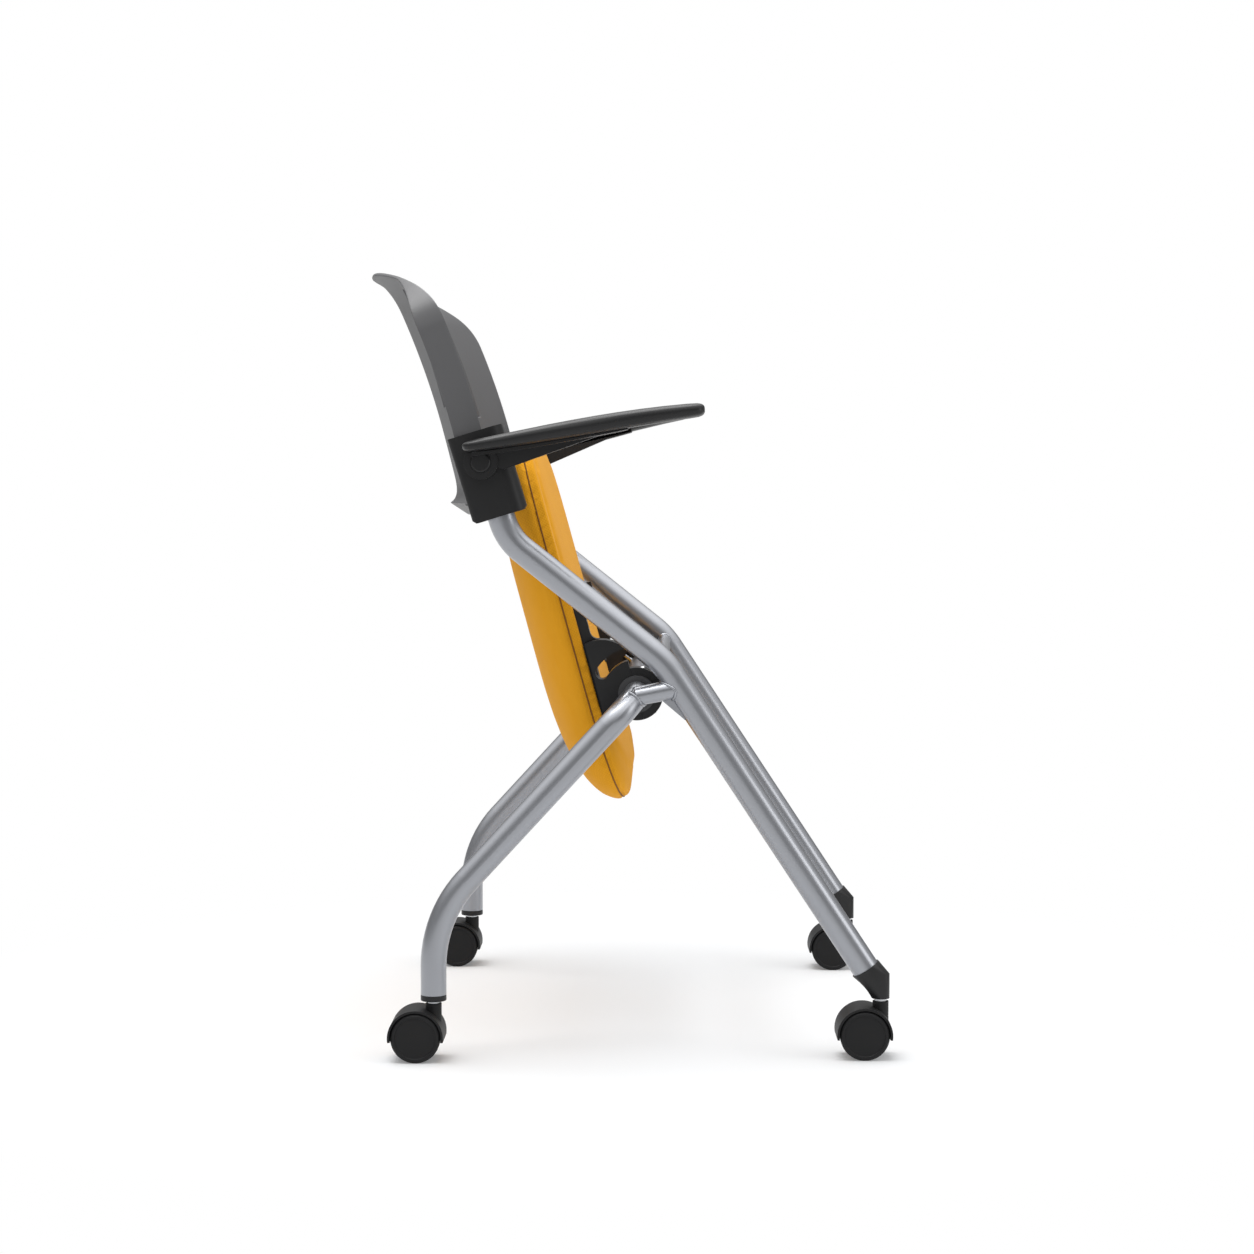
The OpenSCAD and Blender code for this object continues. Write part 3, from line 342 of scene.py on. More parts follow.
def softened(node, body, material, width, degrees=MOULDED_DEGREES):
    """A moulded copy of a frame node with rounded edges, which replaces the node."""
    shape = node_shape(node)
    bmesh.ops.dissolve_limit(
        shape, angle_limit=FLAT_ANGLE, verts=shape.verts, edges=shape.edges,
        use_dissolve_boundaries=False,
    )
    mesh = mesh_of(shape, "moulded_" + node)
    smooth_by_angle(mesh, degrees)
    piece = finished_piece("moulded_" + node, mesh, body, material, smooth=False)
    add_bevel(piece, width, degrees).harden_normals = True
    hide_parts(node)
    return piece


def smoothed(node, body, material):
    """A smooth copy of a frame node whose faces form a grid. A narrow bevel keeps its corners."""
    shape = node_shape(node)
    longest = {
        face: max(face.edges, key=lambda edge: edge.calc_length()) for face in shape.faces
    }
    diagonals = [
        edge for edge in shape.edges
        if len(edge.link_faces) == 2 and all(longest[face] == edge for face in edge.link_faces)
        and edge.calc_face_angle(0) < GRID_ANGLE
    ]
    bmesh.ops.dissolve_edges(shape, edges=diagonals, use_verts=False)
    bmesh.ops.join_triangles(
        shape, faces=[face for face in shape.faces if len(face.verts) == 3],
        angle_face_threshold=GRID_ANGLE, angle_shape_threshold=math.pi,
    )
    mesh = mesh_of(shape, "moulded_" + node)
    piece = finished_piece("moulded_" + node, mesh, body, material)
    add_bevel(piece, SHELL_EDGE, SHELL_EDGE_DEGREES)
    finer = piece.modifiers.new("Smooth form", "SUBSURF")
    finer.levels = finer.render_levels = SHELL_LEVELS
    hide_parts(node)
    return piece


# Materials


def add_socket(group, name, kind, way="INPUT", value=None):
    socket = group.interface.new_socket(name, in_out=way, socket_type="NodeSocket" + kind)
    if value is not None:
        socket.default_value = value
    return socket


def math_node(tree, operation, first, second=None, third=None):
    """A Math node whose inputs are numbers or sockets. Returns its output."""
    node = tree.nodes.new("ShaderNodeMath")
    node.operation = operation
    for socket, value in zip(node.inputs, (first, second, third)):
        if value is None:
            continue
        if isinstance(value, (int, float)):
            socket.default_value = value
        else:
            tree.links.new(value, socket)
    return node.outputs[0]


def noise_node(tree, coordinates, scale, detail=2.0, roughness=0.5):
    node = tree.nodes.new("ShaderNodeTexNoise")
    if isinstance(scale, (int, float)):
        node.inputs["Scale"].default_value = scale
    else:
        tree.links.new(scale, node.inputs["Scale"])
    node.inputs["Detail"].default_value = detail
    node.inputs["Roughness"].default_value = roughness
    tree.links.new(coordinates, node.inputs["Vector"])
    return node.outputs["Fac"]


def grain_group():
    """Fine grain of moulded plastic or paint, with slow changes of tone and gloss."""
    name = "Surface grain"
    if name in bpy.data.node_groups:
        return bpy.data.node_groups[name]
    group = bpy.data.node_groups.new(name, "ShaderNodeTree")
    add_socket(group, "Color", "Color", value=(0.5, 0.5, 0.5, 1))
    add_socket(group, "Grain Scale", "Float", value=1800.0)
    add_socket(group, "Tone Change", "Float", value=0.1)
    add_socket(group, "Roughness", "Float", value=0.45)
    add_socket(group, "Roughness Change", "Float", value=0.08)
    for out, kind in (("Color", "Color"), ("Roughness", "Float"), ("Height", "Float")):
        add_socket(group, out, kind, way="OUTPUT")
    inputs = group.nodes.new("NodeGroupInput")
    outputs = group.nodes.new("NodeGroupOutput")
    coordinates = group.nodes.new("ShaderNodeTexCoord").outputs["Object"]
    fine = noise_node(group, coordinates, inputs.outputs["Grain Scale"], detail=3.0, roughness=0.6)
    cloudy = noise_node(group, coordinates, 14.0, detail=4.0)
    tone = math_node(group, "SUBTRACT", cloudy, 0.5)
    tone = math_node(group, "MULTIPLY_ADD", tone, inputs.outputs["Tone Change"], 1.0)
    shade = group.nodes.new("ShaderNodeVectorMath")
    shade.operation = "SCALE"
    group.links.new(inputs.outputs["Color"], shade.inputs[0])
    group.links.new(tone, shade.inputs["Scale"])
    half_cloudy = math_node(group, "MULTIPLY", cloudy, 0.5)
    both = math_node(group, "MULTIPLY_ADD", fine, 0.5, half_cloudy)
    change = math_node(group, "SUBTRACT", both, 0.5)
    gloss = math_node(
        group, "MULTIPLY_ADD", change, inputs.outputs["Roughness Change"],
        inputs.outputs["Roughness"],
    )
    group.links.new(shade.outputs[0], outputs.inputs["Color"])
    group.links.new(gloss, outputs.inputs["Roughness"])
    group.links.new(fine, outputs.inputs["Height"])
    return group


def weave_group():
    """Plain weave along the seat's own axes, chosen by the way that the surface faces."""
    name = "Plain weave"
    if name in bpy.data.node_groups:
        return bpy.data.node_groups[name]
    group = bpy.data.node_groups.new(name, "ShaderNodeTree")
    add_socket(group, "Yarn", "Color", value=(0.7, 0.3, 0.02, 1))
    add_socket(group, "Flecks And Painted Shade", "Color", value=(0.5, 0.2, 0.01, 1))
    add_socket(group, "Pitch", "Float", value=0.0016)
    add_socket(group, "Fleck", "Float", value=0.35)
    for out, kind in (("Color", "Color"), ("Roughness", "Float"), ("Height", "Float")):
        add_socket(group, out, kind, way="OUTPUT")
    inputs = group.nodes.new("NodeGroupInput")
    outputs = group.nodes.new("NodeGroupOutput")
    source = group.nodes.new("ShaderNodeTexCoord")

    def along_seat(socket):
        turned = group.nodes.new("ShaderNodeVectorRotate")
        turned.rotation_type = "Y_AXIS"
        turned.inputs["Angle"].default_value = SEAT_TURN
        group.links.new(socket, turned.inputs["Vector"])
        split = group.nodes.new("ShaderNodeSeparateXYZ")
        group.links.new(turned.outputs[0], split.inputs[0])
        return split.outputs

    place = along_seat(source.outputs["Object"])
    facing = along_seat(source.outputs["Normal"])
    turns = math_node(group, "DIVIDE", math.pi, inputs.outputs["Pitch"])
    waves = [math_node(group, "SINE", math_node(group, "MULTIPLY", axis, turns)) for axis in place]
    height, total = None, None
    for k in range(3):
        crossing = math_node(group, "MULTIPLY", waves[(k + 1) % 3], waves[(k + 2) % 3])
        weight = math_node(group, "POWER", math_node(group, "ABSOLUTE", facing[k]), 4.0)
        part = math_node(group, "MULTIPLY", crossing, weight)
        height = part if height is None else math_node(group, "ADD", height, part)
        total = weight if total is None else math_node(group, "ADD", total, weight)
    height = math_node(group, "DIVIDE", height, total)
    height = math_node(group, "MULTIPLY_ADD", height, 0.5, 0.5)
    fleck = noise_node(group, source.outputs["Object"], 900.0, detail=2.0)
    cloudy = noise_node(group, source.outputs["Object"], 9.0, detail=3.0)
    # The weave's low points take the darker yarn colour, which is painted shade in the weave's hollows; the flecks
    # and the cloudy change are random tone
    painted_height_shade = math_node(group, "MULTIPLY", height, 0.55)
    fleck_change = math_node(group, "SUBTRACT", fleck, 0.5)
    fleck_and_shade_mix = math_node(group, "MULTIPLY_ADD", fleck_change, inputs.outputs["Fleck"], painted_height_shade)
    fleck_and_shade_mix = math_node(group, "ADD", fleck_and_shade_mix, math_node(group, "MULTIPLY", cloudy, 0.35))
    mixed = group.nodes.new("ShaderNodeMix")
    mixed.data_type = "RGBA"
    group.links.new(fleck_and_shade_mix, mixed.inputs["Factor"])
    group.links.new(inputs.outputs["Flecks And Painted Shade"], mixed.inputs["A"])
    group.links.new(inputs.outputs["Yarn"], mixed.inputs["B"])
    group.links.new(mixed.outputs["Result"], outputs.inputs["Color"])
    roughness = math_node(group, "MULTIPLY_ADD", height, -0.1, 0.92)
    group.links.new(roughness, outputs.inputs["Roughness"])
    fuzz = math_node(group, "MULTIPLY_ADD", fleck, 0.35, height)
    group.links.new(fuzz, outputs.inputs["Height"])
    return group


def blank_material(name):
    material = bpy.data.materials.new(name)
    material.use_nodes = True
    return material, material.node_tree, material.node_tree.nodes["Principled BSDF"]


def add_bump(tree, shader, height, strength, distance):
    bump = tree.nodes.new("ShaderNodeBump")
    bump.inputs["Strength"].default_value = strength
    bump.inputs["Distance"].default_value = distance
    tree.links.new(height, bump.inputs["Height"])
    tree.links.new(bump.outputs["Normal"], shader.inputs["Normal"])


def grained(name, color, roughness, grain, bump, tone, change, **constants):
    """A material of the surface grain. Constants are values on the shader's own sockets."""
    if name in bpy.data.materials:
        return bpy.data.materials[name]
    material, tree, shader = blank_material(name)
    grain_node = tree.nodes.new("ShaderNodeGroup")
    grain_node.node_tree = grain_group()
    grain_node.inputs["Color"].default_value = (*color, 1)
    grain_node.inputs["Grain Scale"].default_value = grain
    grain_node.inputs["Tone Change"].default_value = tone
    grain_node.inputs["Roughness"].default_value = roughness
    grain_node.inputs["Roughness Change"].default_value = change
    tree.links.new(grain_node.outputs["Color"], shader.inputs["Base Color"])
    tree.links.new(grain_node.outputs["Roughness"], shader.inputs["Roughness"])
    for socket, value in constants.items():
        shader.inputs[socket.replace("_", " ")].default_value = value
    if bump:
        add_bump(tree, shader, grain_node.outputs["Height"], bump, GRAIN_RELIEF)
    return material


def silver_paint():
    return grained(
        "Satin silver paint", bpy.context.scene.chair_finishes.tube, 0.31,
        grain=700.0, bump=0.0, tone=0.05, change=0.03,
        Metallic=0.85, Coat_Weight=0.3, Coat_Roughness=0.2,
    )


def zinc_plate():
    return grained(
        "Bright zinc", (0.55, 0.56, 0.58), 0.3,
        grain=900.0, bump=0.08, tone=0.2, change=0.15, Metallic=1.0,
    )


def black_nylon():
    return grained(
        "Black nylon", bpy.context.scene.chair_finishes.plastic, 0.4,
        grain=2600.0, bump=0.2, tone=0.25, change=0.1, Specular_IOR_Level=0.34,
    )


def wheel_nylon():
    return grained(
        "Wheel nylon", bpy.context.scene.chair_finishes.plastic, 0.5,
        grain=1400.0, bump=0.1, tone=0.3, change=0.12, Specular_IOR_Level=0.22,
    )


def charcoal_shell():
    return grained(
        "Charcoal polypropylene", bpy.context.scene.chair_finishes.shell, 0.46,
        grain=3000.0, bump=0.2, tone=0.12, change=0.08, Specular_IOR_Level=0.42,
    )


def soft_rubber():
    return grained(
        "Pad rubber", (0.02, 0.02, 0.02), 0.75, grain=2200.0, bump=0.3, tone=0.3, change=0.1
    )


def bush_plastic():
    return grained(
        "Bush acetal", (0.05, 0.05, 0.052), 0.3, grain=1200.0, bump=0.05, tone=0.1, change=0.05
    )


def beech_ply():
    """Plywood of the seat board, hidden inside the cushion."""
    return grained(
        "Beech plywood", (0.5, 0.34, 0.18), 0.6, grain=300.0, bump=0.3, tone=0.4, change=0.1
    )


def seat_fabric():
    name = "Amber upholstery"
    if name in bpy.data.materials:
        return bpy.data.materials[name]
    finishes, sizes = bpy.context.scene.chair_finishes, bpy.context.scene.chair_sizes
    material, tree, shader = blank_material(name)
    weave = tree.nodes.new("ShaderNodeGroup")
    weave.node_tree = weave_group()
    weave.inputs["Yarn"].default_value = (*finishes.fabric, 1)
    weave.inputs["Flecks And Painted Shade"].default_value = (*finishes.fabric_flecks_and_painted_shade, 1)
    weave.inputs["Pitch"].default_value = sizes.weave_pitch
    tree.links.new(weave.outputs["Color"], shader.inputs["Base Color"])
    tree.links.new(weave.outputs["Roughness"], shader.inputs["Roughness"])
    shader.inputs["Specular IOR Level"].default_value = 0.12
    shader.inputs["Sheen Weight"].default_value = 0.06
    shader.inputs["Sheen Roughness"].default_value = 0.45
    shader.inputs["Sheen Tint"].default_value = (1.0, 0.86, 0.62, 1)
    add_bump(tree, shader, weave.outputs["Height"], 0.35, WEAVE_RELIEF)
    return material


# A real thread bead whose dark colour is painted shade along the seam's crease
def painted_shade_thread():
    return grained(
        "Seam thread", bpy.context.scene.chair_finishes.thread, 0.85,
        grain=900.0, bump=0.4, tone=0.3, change=0.05,
    )


# Seat cushion


class Cushion:
    """The cushion's form in its own axes: u to the seat's front edge, n out of its face."""

    front, rear, half_width = 0.2995, -0.117, 0.225
    underside, seam, crown = 0.038, 0.050, 0.097
    middle = (front + rear) / 2
    half_length = (front - rear) / 2
    corner_power, top_power, under_power = 4.6, 3, 12
    draw_in = 0.0026
    seam_drop_front, seam_drop_rear = 0.003, 0.007
    rear_dip, dip_start, dip_length = 0.009, -0.008, 0.06
    board_under, board_reach = 0.0404, 0.955
    channel_reach, channel_blend = 0.93, 0.05

    @classmethod
    def seam_height(cls, u):
        share = (u - cls.middle) / cls.half_length
        return cls.seam - (cls.seam_drop_front if share > 0 else cls.seam_drop_rear) * share**4

    @classmethod
    def under_height(cls, u):
        t = min(1.0, max(0.0, (cls.dip_start - u) / cls.dip_length))
        return cls.underside - cls.rear_dip * t * t * (3 - 2 * t)

    @classmethod
    def plan(cls, share, angle, inset=0.0):
        draw = 1 - cls.draw_in / cls.half_width * math.cos(2 * angle) ** 2
        bow = lambda value: math.copysign(abs(value) ** (2 / cls.corner_power), value)
        return (
            cls.middle + (share * draw * cls.half_length - inset) * bow(math.cos(angle)),
            (share * draw * cls.half_width - inset) * bow(math.sin(angle)),
        )

    @classmethod
    def under(cls, share, angle, inset=0.0):
        u, y = cls.plan(share, angle, inset)
        seam = cls.seam_height(u)
        round_off = math.sqrt(max(0.0, 1 - share**cls.under_power))
        return u, y, seam - (seam - cls.under_height(u) - inset) * round_off

    @classmethod
    def top(cls, share, angle, inset=0.0):
        u, y = cls.plan(share, angle, inset)
        height = (cls.crown - cls.seam - inset) * math.sqrt(max(0.0, 1 - share**cls.top_power))
        return u, y, cls.seam_height(u) + height


def from_seat(point):
    """A point given in the seat's axes, in the row frame at rest."""
    u, y, n = point
    cos, sin = math.cos(SEAT_TURN), math.sin(SEAT_TURN)
    return PIVOT + Vector((u * cos - n * sin, y, u * sin + n * cos))


def cushion_start(inset):
    """The cushion a little smaller than it is when filled."""
    sides = 96
    angles = [math.tau * k / sides for k in range(sides)]
    under_shares = (0.15, 0.3, 0.45, 0.6, 0.72, 0.82, 0.9, 0.95, 0.98, 0.995)
    top_shares = (
        1.0, 0.995, 0.985, 0.965, 0.93, 0.88, 0.82, 0.75, 0.66, 0.56, 0.45, 0.33, 0.2, 0.1,
    )
    rings = [[Cushion.under(share, a, inset) for a in angles] for share in under_shares]
    rings += [[Cushion.top(share, a, inset) for a in angles] for share in top_shares]
    points = [p for ring in rings for p in ring]
    points.append(tuple(np.mean(rings[0], axis=0)))
    points.append(tuple(np.mean(rings[-1], axis=0)))
    return [from_seat(p) for p in points], loft_faces(len(rings), sides)


def fill_cushion(piece, grid, travel):
    """Remeshes the cover, blows it up a little as cloth and keeps each point near its start."""
    scene = bpy.context.scene
    bpy.context.view_layer.objects.active = piece
    remesh = piece.modifiers.new("Even cover", "REMESH")
    remesh.mode = "VOXEL"
    remesh.voxel_size = grid
    bpy.ops.object.modifier_apply(modifier=remesh.name)
    start = np.empty(len(piece.data.vertices) * 3, np.float32)
    piece.data.vertices.foreach_get("co", start)
    start = start.reshape(-1, 3)
    outwards = np.empty(start.size, np.float32)
    piece.data.vertices.foreach_get("normal", outwards)
    outwards = outwards.reshape(-1, 3)
    cloth = piece.modifiers.new("Filling", "CLOTH")
    cloth.settings.use_pressure = True
    cloth.settings.uniform_pressure_force = PRESSURE
    cloth.settings.effector_weights.gravity = 0
    cloth.settings.quality = CLOTH_QUALITY
    cloth.settings.mass = CLOTH_MASS
    for frame_number in range(1, CLOTH_FRAMES + 1):
        scene.frame_set(frame_number)
    bpy.ops.object.modifier_apply(modifier=cloth.name)
    scene.frame_set(1)
    moved = np.empty(start.size, np.float32)
    piece.data.vertices.foreach_get("co", moved)
    step = moved.reshape(-1, 3) - start
    length = np.linalg.norm(step, axis=1, keepdims=True)
    step *= np.minimum(1.0, travel / np.maximum(length, 1e-9))
    inward = np.minimum(0.0, (step * outwards).sum(axis=1, keepdims=True))
    step -= INWARD_HELD * inward * outwards
    piece.data.vertices.foreach_set("co", (start + step).ravel())


def seat_axes_of(points):
    """Points of the row frame as u, y and n columns of the seat."""
    cos, sin = math.cos(SEAT_TURN), math.sin(SEAT_TURN)
    x, y, z = (points - np.array(PIVOT)).T
    return np.column_stack([x * cos + z * sin, y, -x * sin + z * cos])


def row_frame_of(seat):
    """Points given in the seat's axes, in the row frame."""
    cos, sin = math.cos(SEAT_TURN), math.sin(SEAT_TURN)
    u, y, n = seat.T
    return np.column_stack([u * cos - n * sin, y, u * sin + n * cos]) + np.array(PIVOT)


def sew_channel(piece, depth, width):
    """Draws the cover in along the side seam and keeps it outside the seat board."""
    mesh = piece.data
    points = np.empty(len(mesh.vertices) * 3, np.float32)
    mesh.vertices.foreach_get("co", points)
    seat = seat_axes_of(points.reshape(-1, 3))
    share = (seat[:, 0] - Cushion.middle) / Cushion.half_length
    across = seat[:, 1] / Cushion.half_width
    drop = np.where(share > 0, Cushion.seam_drop_front, Cushion.seam_drop_rear)
    seam = Cushion.seam - drop * share**4

    power = Cushion.corner_power
    reach = (np.abs(share) ** power + np.abs(across) ** power) ** (1 / power)
    off = (seat[:, 2] - seam) / width
    near_edge = np.clip((reach - Cushion.channel_reach) / Cushion.channel_blend, 0, 1)
    pull = depth * np.exp(-(off**2)) * near_edge
    way = np.column_stack([
        np.sign(share) * np.abs(share) ** (power - 1) / Cushion.half_length,
        np.sign(across) * np.abs(across) ** (power - 1) / Cushion.half_width,
    ])
    way /= np.maximum(np.linalg.norm(way, axis=1, keepdims=True), 1e-9)
    seat[:, :2] -= way * pull[:, None]

    beside = np.clip((reach - Cushion.board_reach) / (1 - Cushion.board_reach), 0, 1)
    lowest = Cushion.board_under + (seam - Cushion.board_under) * beside**2
    carried = seat[:, 2] < seam
    seat[carried, 2] = np.minimum(seat[carried, 2], lowest[carried])
    mesh.vertices.foreach_set("co", row_frame_of(seat).astype(np.float32).ravel())
    mesh.update()


def seam_path(cushion, depth):
    """Points just over the cover along its seam, each the average of its neighbours."""
    path = []
    for k in range(THREAD_POINTS):
        in_seam = from_seat(Cushion.top(1.0, math.tau * k / THREAD_POINTS, depth))
        _, place, normal, _ = cushion.closest_point_on_mesh(in_seam)
        path.append(place + THREAD_LIFT * normal)
    steps = range(-THREAD_SPREAD, THREAD_SPREAD + 1)
    return [
        sum((path[(k + step) % THREAD_POINTS] for step in steps), Vector()) / len(steps)
        for k in range(THREAD_POINTS)
    ]


class CHAIR_OT_cushion(bpy.types.Operator):
    """Upholstered seat cushion with its sewn side seam"""

    bl_idname = "chair.cushion"
    bl_label = "Seat Cushion"

    def execute(self, context):
        sizes = context.scene.chair_sizes
        points, faces = cushion_start(COVER_INSET)
        cushion = new_piece("cushion", points, faces, "seat", seat_fabric())
        fill_cushion(cushion, sizes.cloth_grid, sizes.cloth_travel)
        finer = cushion.modifiers.new("Smooth cover", "SUBSURF")
        finer.levels = finer.render_levels = 1
        context.view_layer.objects.active = cushion
        bpy.ops.object.modifier_apply(modifier=finer.name)
        sew_channel(cushion, sizes.seam_depth, sizes.seam_width)
        cushion.data.shade_smooth()
        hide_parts("seat_cushion")

        # A thread bead along the seam, coloured dark as painted shade of the seam's crease
        path = seam_path(cushion, sizes.seam_depth)
        mesh = bead_mesh("painted_shade_thread", path, THREAD_RADIUS, sides=6)
        finished_piece("painted_shade_thread", mesh, "seat", painted_shade_thread())
        return {"FINISHED"}


# Back shell


class CHAIR_OT_back_shell(bpy.types.Operator):
    """Moulded back shell, smooth and with rounded edges"""

    bl_idname = "chair.back_shell"
    bl_label = "Back Shell"

    def execute(self, context):
        smoothed("back_shell", "frame", charcoal_shell())
        return {"FINISHED"}


# Arms, sleeves and other mouldings


class CHAIR_OT_mouldings(bpy.types.Operator):
    """Black mouldings with rounded edges: arms, sleeves, seat brackets and feet"""

    bl_idname = "chair.mouldings"
    bl_label = "Black Mouldings"

    def execute(self, context):
        width = context.scene.chair_sizes.edge_round
        for side in SIDES:
            for node, body in (
                ("arm_sleeve", "frame"),
                ("front_foot", "frame"),
                ("rear_ferrule", "frame"),
                ("seat_bracket", "seat"),
                ("hub_cap", "seat"),
                ("arm_support", side + "_arm"),
                ("arm_cap", side + "_arm"),
            ):
                softened(f"{side}_{node}", body, black_nylon(), width)
            softened(
                f"{side}_arm_pad", side + "_arm", black_nylon(), 0, PAD_DEGREES
            )
        return {"FINISHED"}


class CHAIR_OT_casters(bpy.types.Operator):
    """Twin-wheel casters with rounded hoods and wheels"""

    bl_idname = "chair.casters"
    bl_label = "Casters"

    def execute(self, context):
        width = context.scene.chair_sizes.edge_round
        wheel_width = width * WHEEL_ROUND_SHARE
        for corner in CORNERS:
            body = corner + "_caster"
            softened(body + "_body", body, wheel_nylon(), width)
            for wheel in ("outer", "inner"):
                node = f"{corner}_{wheel}_wheel"
                softened(node, node + "_body", wheel_nylon(), wheel_width)
        return {"FINISHED"}


# Tubes and welds


def weld_path(start, way, radius, target):
    """Where a round bar that runs from start along way meets the target's surface."""
    tree = BVHTree.FromObject(frame["nodes"][target], bpy.context.evaluated_depsgraph_get())
    way = way.normalized()
    side = way.orthogonal().normalized()
    up = way.cross(side)
    path = []
    for k in range(WELD_RAYS):
        angle = math.tau * k / WELD_RAYS
        offset = radius * (math.cos(angle) * side + math.sin(angle) * up)
        hit = tree.ray_cast(start + offset, way, WELD_REACH)[0]
        if hit is not None:
            path.append(hit)
    return path


def weld(name, start, way, radius, target, width):
    """A rippled bead where a round bar meets a tube of the frame."""
    path = weld_path(start, way, radius, target)
    if len(path) < WELD_RAYS_NEEDED:
        met = f"{len(path)} of {WELD_RAYS} points"
        raise RuntimeError(f"{name}: the bar meets {target} at only {met}")
    swell = [1 + WELD_RIPPLE * math.sin(k * WELD_RIPPLE_STEP) for k in range(len(path))]
    mesh = bead_mesh(name, path, width / 2, sides=8, swell=swell)
    finished_piece(name, mesh, "frame", silver_paint())


def middle_of(node):
    low, high = (Vector(corner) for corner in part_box(node))
    return (low + high) / 2


class CHAIR_OT_tubes(bpy.types.Operator):
    """Satin finish of the tubes and small hardware, and the weld beads"""

    bl_idname = "chair.tubes"
    bl_label = "Tubes and Welds"

    def execute(self, context):
        finishes = {
            "silver_steel": silver_paint, "zinc_steel": zinc_plate, "pad_rubber": soft_rubber,
            "bush_plastic": bush_plastic, "plywood": beech_ply, "black_plastic": black_nylon,
            "wheel_nylon": wheel_nylon, "shell_plastic": charcoal_shell, "seat_fabric": seat_fabric,
        }
        for entry in frame["record"]["subparts"]:
            node = frame["nodes"][entry["node"]]
            for slot in node.material_slots:
                slot.material = finishes[entry["material_slot"]]()

        width = context.scene.chair_sizes.weld_width
        for side, sign in SIDES.items():
            name, tube = side + "_link_weld", side + "_main_tube"
            bar = middle_of(side + "_link_bar")
            way = Vector((math.cos(LINK_BAR_SLOPE), 0, math.sin(LINK_BAR_SLOPE)))
            weld(name + "_front", bar, way, LINK_BAR_RADIUS, tube, width)
            weld(name + "_rear", bar, -way, LINK_BAR_RADIUS, "rear_leg_frame", width)
            start = middle_of("seat_rest_rod") + Vector((0, sign * REST_ROD_START, 0))
            weld(side + "_rod_weld", start, Vector((0, sign, 0)), REST_ROD_RADIUS, tube, width)
        return {"FINISHED"}


# Stage


def studio_floor():
    """A round floor that keeps the chair's shadow and fades to white away from it."""
    shape = bmesh.new()
    bmesh.ops.create_circle(shape, cap_ends=True, segments=96, radius=FLOOR_RADIUS)
    mesh = mesh_of(shape, "studio_floor")
    floor = bpy.data.objects.new("studio_floor", mesh)
    bpy.context.scene.collection.objects.link(floor)
    material, tree, shader = blank_material("Pale floor")
    shader.inputs["Base Color"].default_value = FLOOR_COLOR
    shader.inputs["Roughness"].default_value = 1.0
    shader.inputs["Specular IOR Level"].default_value = 0.0
    glow = tree.nodes.new("ShaderNodeEmission")
    glow.inputs["Color"].default_value = (1, 1, 1, 1)
    far = tree.nodes.new("ShaderNodeVectorMath")
    far.operation = "LENGTH"
    tree.links.new(tree.nodes.new("ShaderNodeTexCoord").outputs["Object"], far.inputs[0])
    fade = tree.nodes.new("ShaderNodeMapRange")
    fade.interpolation_type = "SMOOTHSTEP"
    fade.inputs["From Min"].default_value, fade.inputs["From Max"].default_value = FLOOR_FADE
    tree.links.new(far.outputs["Value"], fade.inputs["Value"])
    seen = math_node(tree, "MULTIPLY", fade.outputs[0], background_rays(tree))
    mixed = tree.nodes.new("ShaderNodeMixShader")
    tree.links.new(seen, mixed.inputs[0])
    tree.links.new(shader.outputs[0], mixed.inputs[1])
    tree.links.new(glow.outputs[0], mixed.inputs[2])
    tree.links.new(mixed.outputs[0], tree.nodes["Material Output"].inputs["Surface"])
    mesh.materials.append(material)


def background_rays(tree):
    """1 for rays that show the background: seen, mirrored or through glass."""
    rays = tree.nodes.new("ShaderNodeLightPath").outputs
    seen = math_node(tree, "MAXIMUM", rays["Is Camera Ray"], rays["Is Glossy Ray"])
    return math_node(tree, "MAXIMUM", seen, rays["Is Transmission Ray"])


def studio_world(ambient, dark_band):
    """White to the eye, even and softer for light, with dim walls for glossy rays."""
    world = bpy.data.worlds.new("Studio")
    bpy.context.scene.world = world
    world.use_nodes = True
    tree = world.node_tree
    background = tree.nodes["Background"]
    rays = tree.nodes.new("ShaderNodeLightPath").outputs
    split = tree.nodes.new("ShaderNodeSeparateXYZ")
    tree.links.new(tree.nodes.new("ShaderNodeTexCoord").outputs["Generated"], split.inputs[0])
    over_middle = math_node(tree, "SUBTRACT", split.outputs["Z"], WALL_MIDDLE)
    height = math_node(tree, "ABSOLUTE", over_middle)
    wall = tree.nodes.new("ShaderNodeMapRange")
    wall.interpolation_type = "SMOOTHSTEP"
    wall.inputs["From Min"].default_value, wall.inputs["From Max"].default_value = WALL_FADE
    wall.inputs["To Min"].default_value = dark_band
    wall.inputs["To Max"].default_value = CEILING_LIGHT
    tree.links.new(height, wall.inputs["Value"])
    strength = math_node(tree, "MULTIPLY", wall.outputs[0], rays["Is Glossy Ray"])
    plain = math_node(tree, "MAXIMUM", rays["Is Camera Ray"], rays["Is Transmission Ray"])
    strength = math_node(tree, "MAXIMUM", strength, plain)
    lit = math_node(tree, "SUBTRACT", 1.0, background_rays(tree))
    strength = math_node(tree, "MULTIPLY_ADD", lit, ambient, strength)
    tree.links.new(strength, background.inputs["Strength"])
    background.inputs["Color"].default_value = (1, 1, 1, 1)


def area_lamp(name, place, target, size, power):
    """A round soft lamp that shines from place to target."""
    lamp = bpy.data.lights.new(name, "AREA")
    lamp.shape = "DISK"
    lamp.size = size
    lamp.energy = power
    holder = bpy.data.objects.new(name, lamp)
    bpy.context.scene.collection.objects.link(holder)
    holder.location = place
    holder.rotation_euler = (Vector(target) - Vector(place)).to_track_quat("-Z", "Y").to_euler()


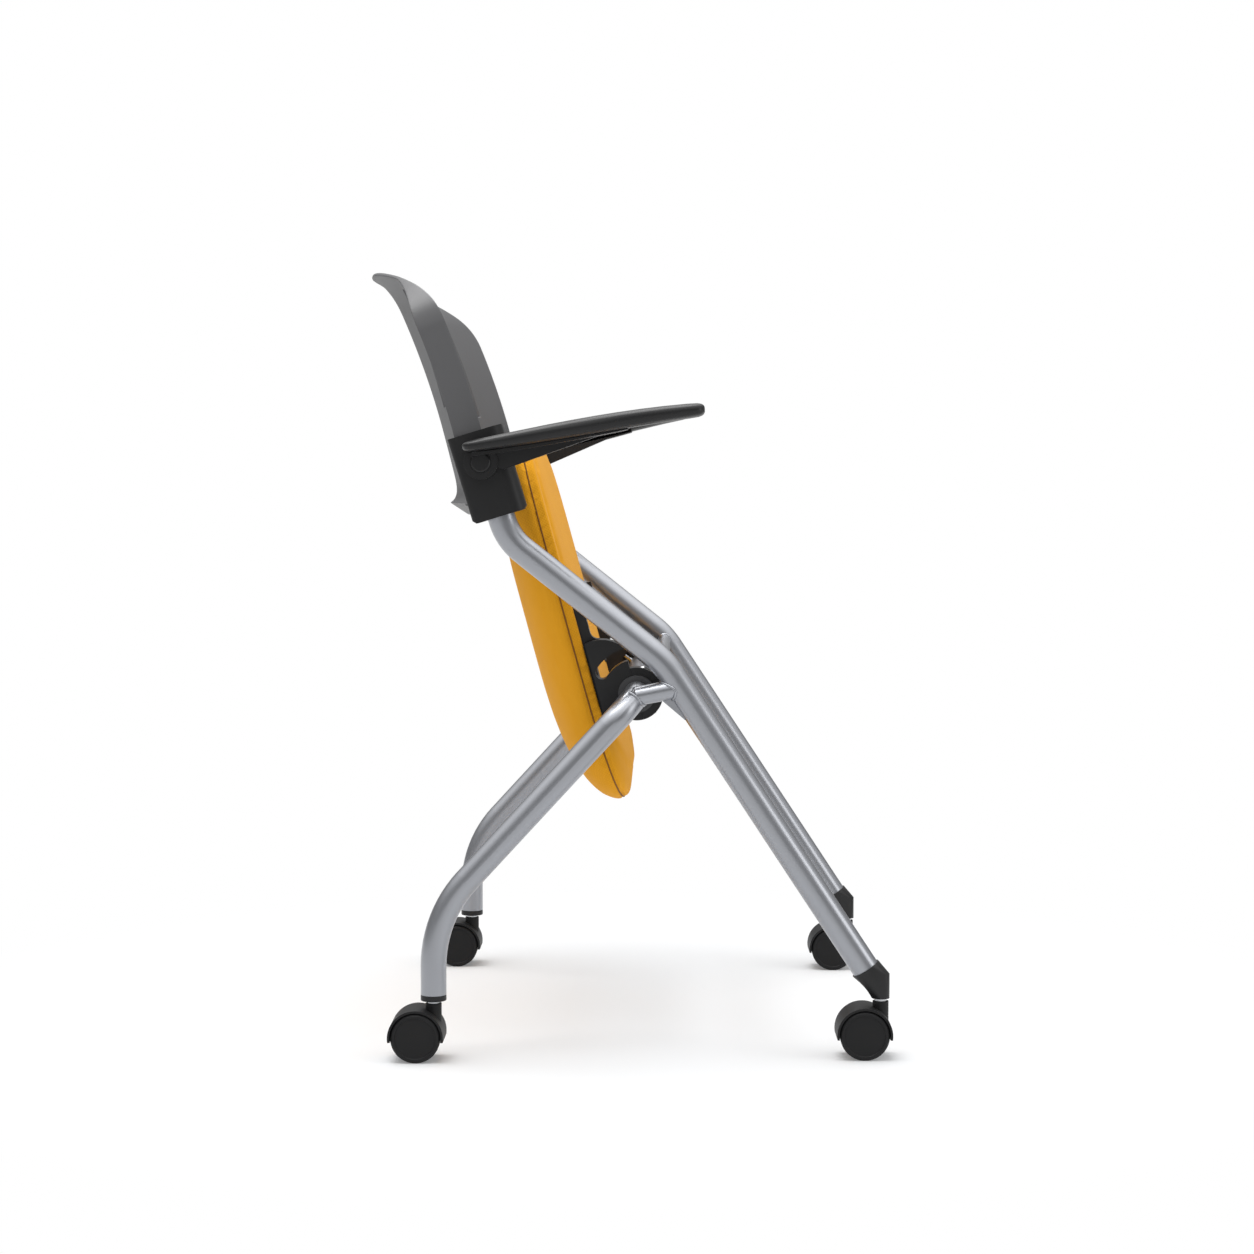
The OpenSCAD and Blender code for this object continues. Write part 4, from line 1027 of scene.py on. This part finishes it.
class CHAIR_OT_stage(bpy.types.Operator):
    """Pale floor, soft studio light and the camera"""

    bl_idname = "chair.stage"
    bl_label = "Stage and Camera"

    def execute(self, context):
        scene, stage = context.scene, context.scene.chair_stage
        scene.view_settings.view_transform = "Standard"
        studio_floor()
        studio_world(stage.ambient, stage.dark_band)
        area_lamp("overhead", (-0.4, -0.15, 2.6), (0.05, 0, 0.4), 2.4, stage.key_power)
        area_lamp("front_fill", (2.3, -0.9, 0.9), (0, 0, 0.45), 1.2, stage.fill_power)

        camera = bpy.data.cameras.new("camera")
        camera.sensor_width = 36
        camera.lens = stage.lens
        camera.clip_end = 50
        holder = bpy.data.objects.new("camera", camera)
        scene.collection.objects.link(holder)
        holder.location = CAMERA_PLACE
        holder.rotation_euler = (math.radians(90) - CAMERA_DOWN, 0, CAMERA_TURN)
        scene.camera = holder
        return {"FINISHED"}


class CHAIR_PT_panel(bpy.types.Panel):
    """Lists the chair's pieces and settings"""

    bl_idname = "CHAIR_PT_panel"
    bl_label = "Nesting Chair"
    bl_space_type = "VIEW_3D"
    bl_region_type = "UI"
    bl_category = "Chair"

    def draw(self, context):
        layout = self.layout
        for operator in OPERATORS:
            layout.operator(operator.bl_idname)
        scene = context.scene
        for group in (scene.chair_finishes, scene.chair_sizes, scene.chair_stage):
            box = layout.box()
            for name in group.__annotations__:
                box.prop(group, name)


OPERATORS = (
    CHAIR_OT_tubes,
    CHAIR_OT_mouldings,
    CHAIR_OT_casters,
    CHAIR_OT_back_shell,
    CHAIR_OT_cushion,
    CHAIR_OT_stage,
)
CLASSES = (ChairFinishes, ChairSizes, ChairStage, *OPERATORS, CHAIR_PT_panel)


def register():
    for each in CLASSES:
        bpy.utils.register_class(each)
    bpy.types.Scene.chair_finishes = PointerProperty(type=ChairFinishes)
    bpy.types.Scene.chair_sizes = PointerProperty(type=ChairSizes)
    bpy.types.Scene.chair_stage = PointerProperty(type=ChairStage)


def unregister():
    del bpy.types.Scene.chair_stage
    del bpy.types.Scene.chair_sizes
    del bpy.types.Scene.chair_finishes
    for each in reversed(CLASSES):
        bpy.utils.unregister_class(each)


def main():
    register()
    bpy.ops.chair.tubes()
    bpy.ops.chair.mouldings()
    bpy.ops.chair.casters()
    bpy.ops.chair.back_shell()
    bpy.ops.chair.cushion()
    bpy.ops.chair.stage()


if __name__ == "__main__":
    main()
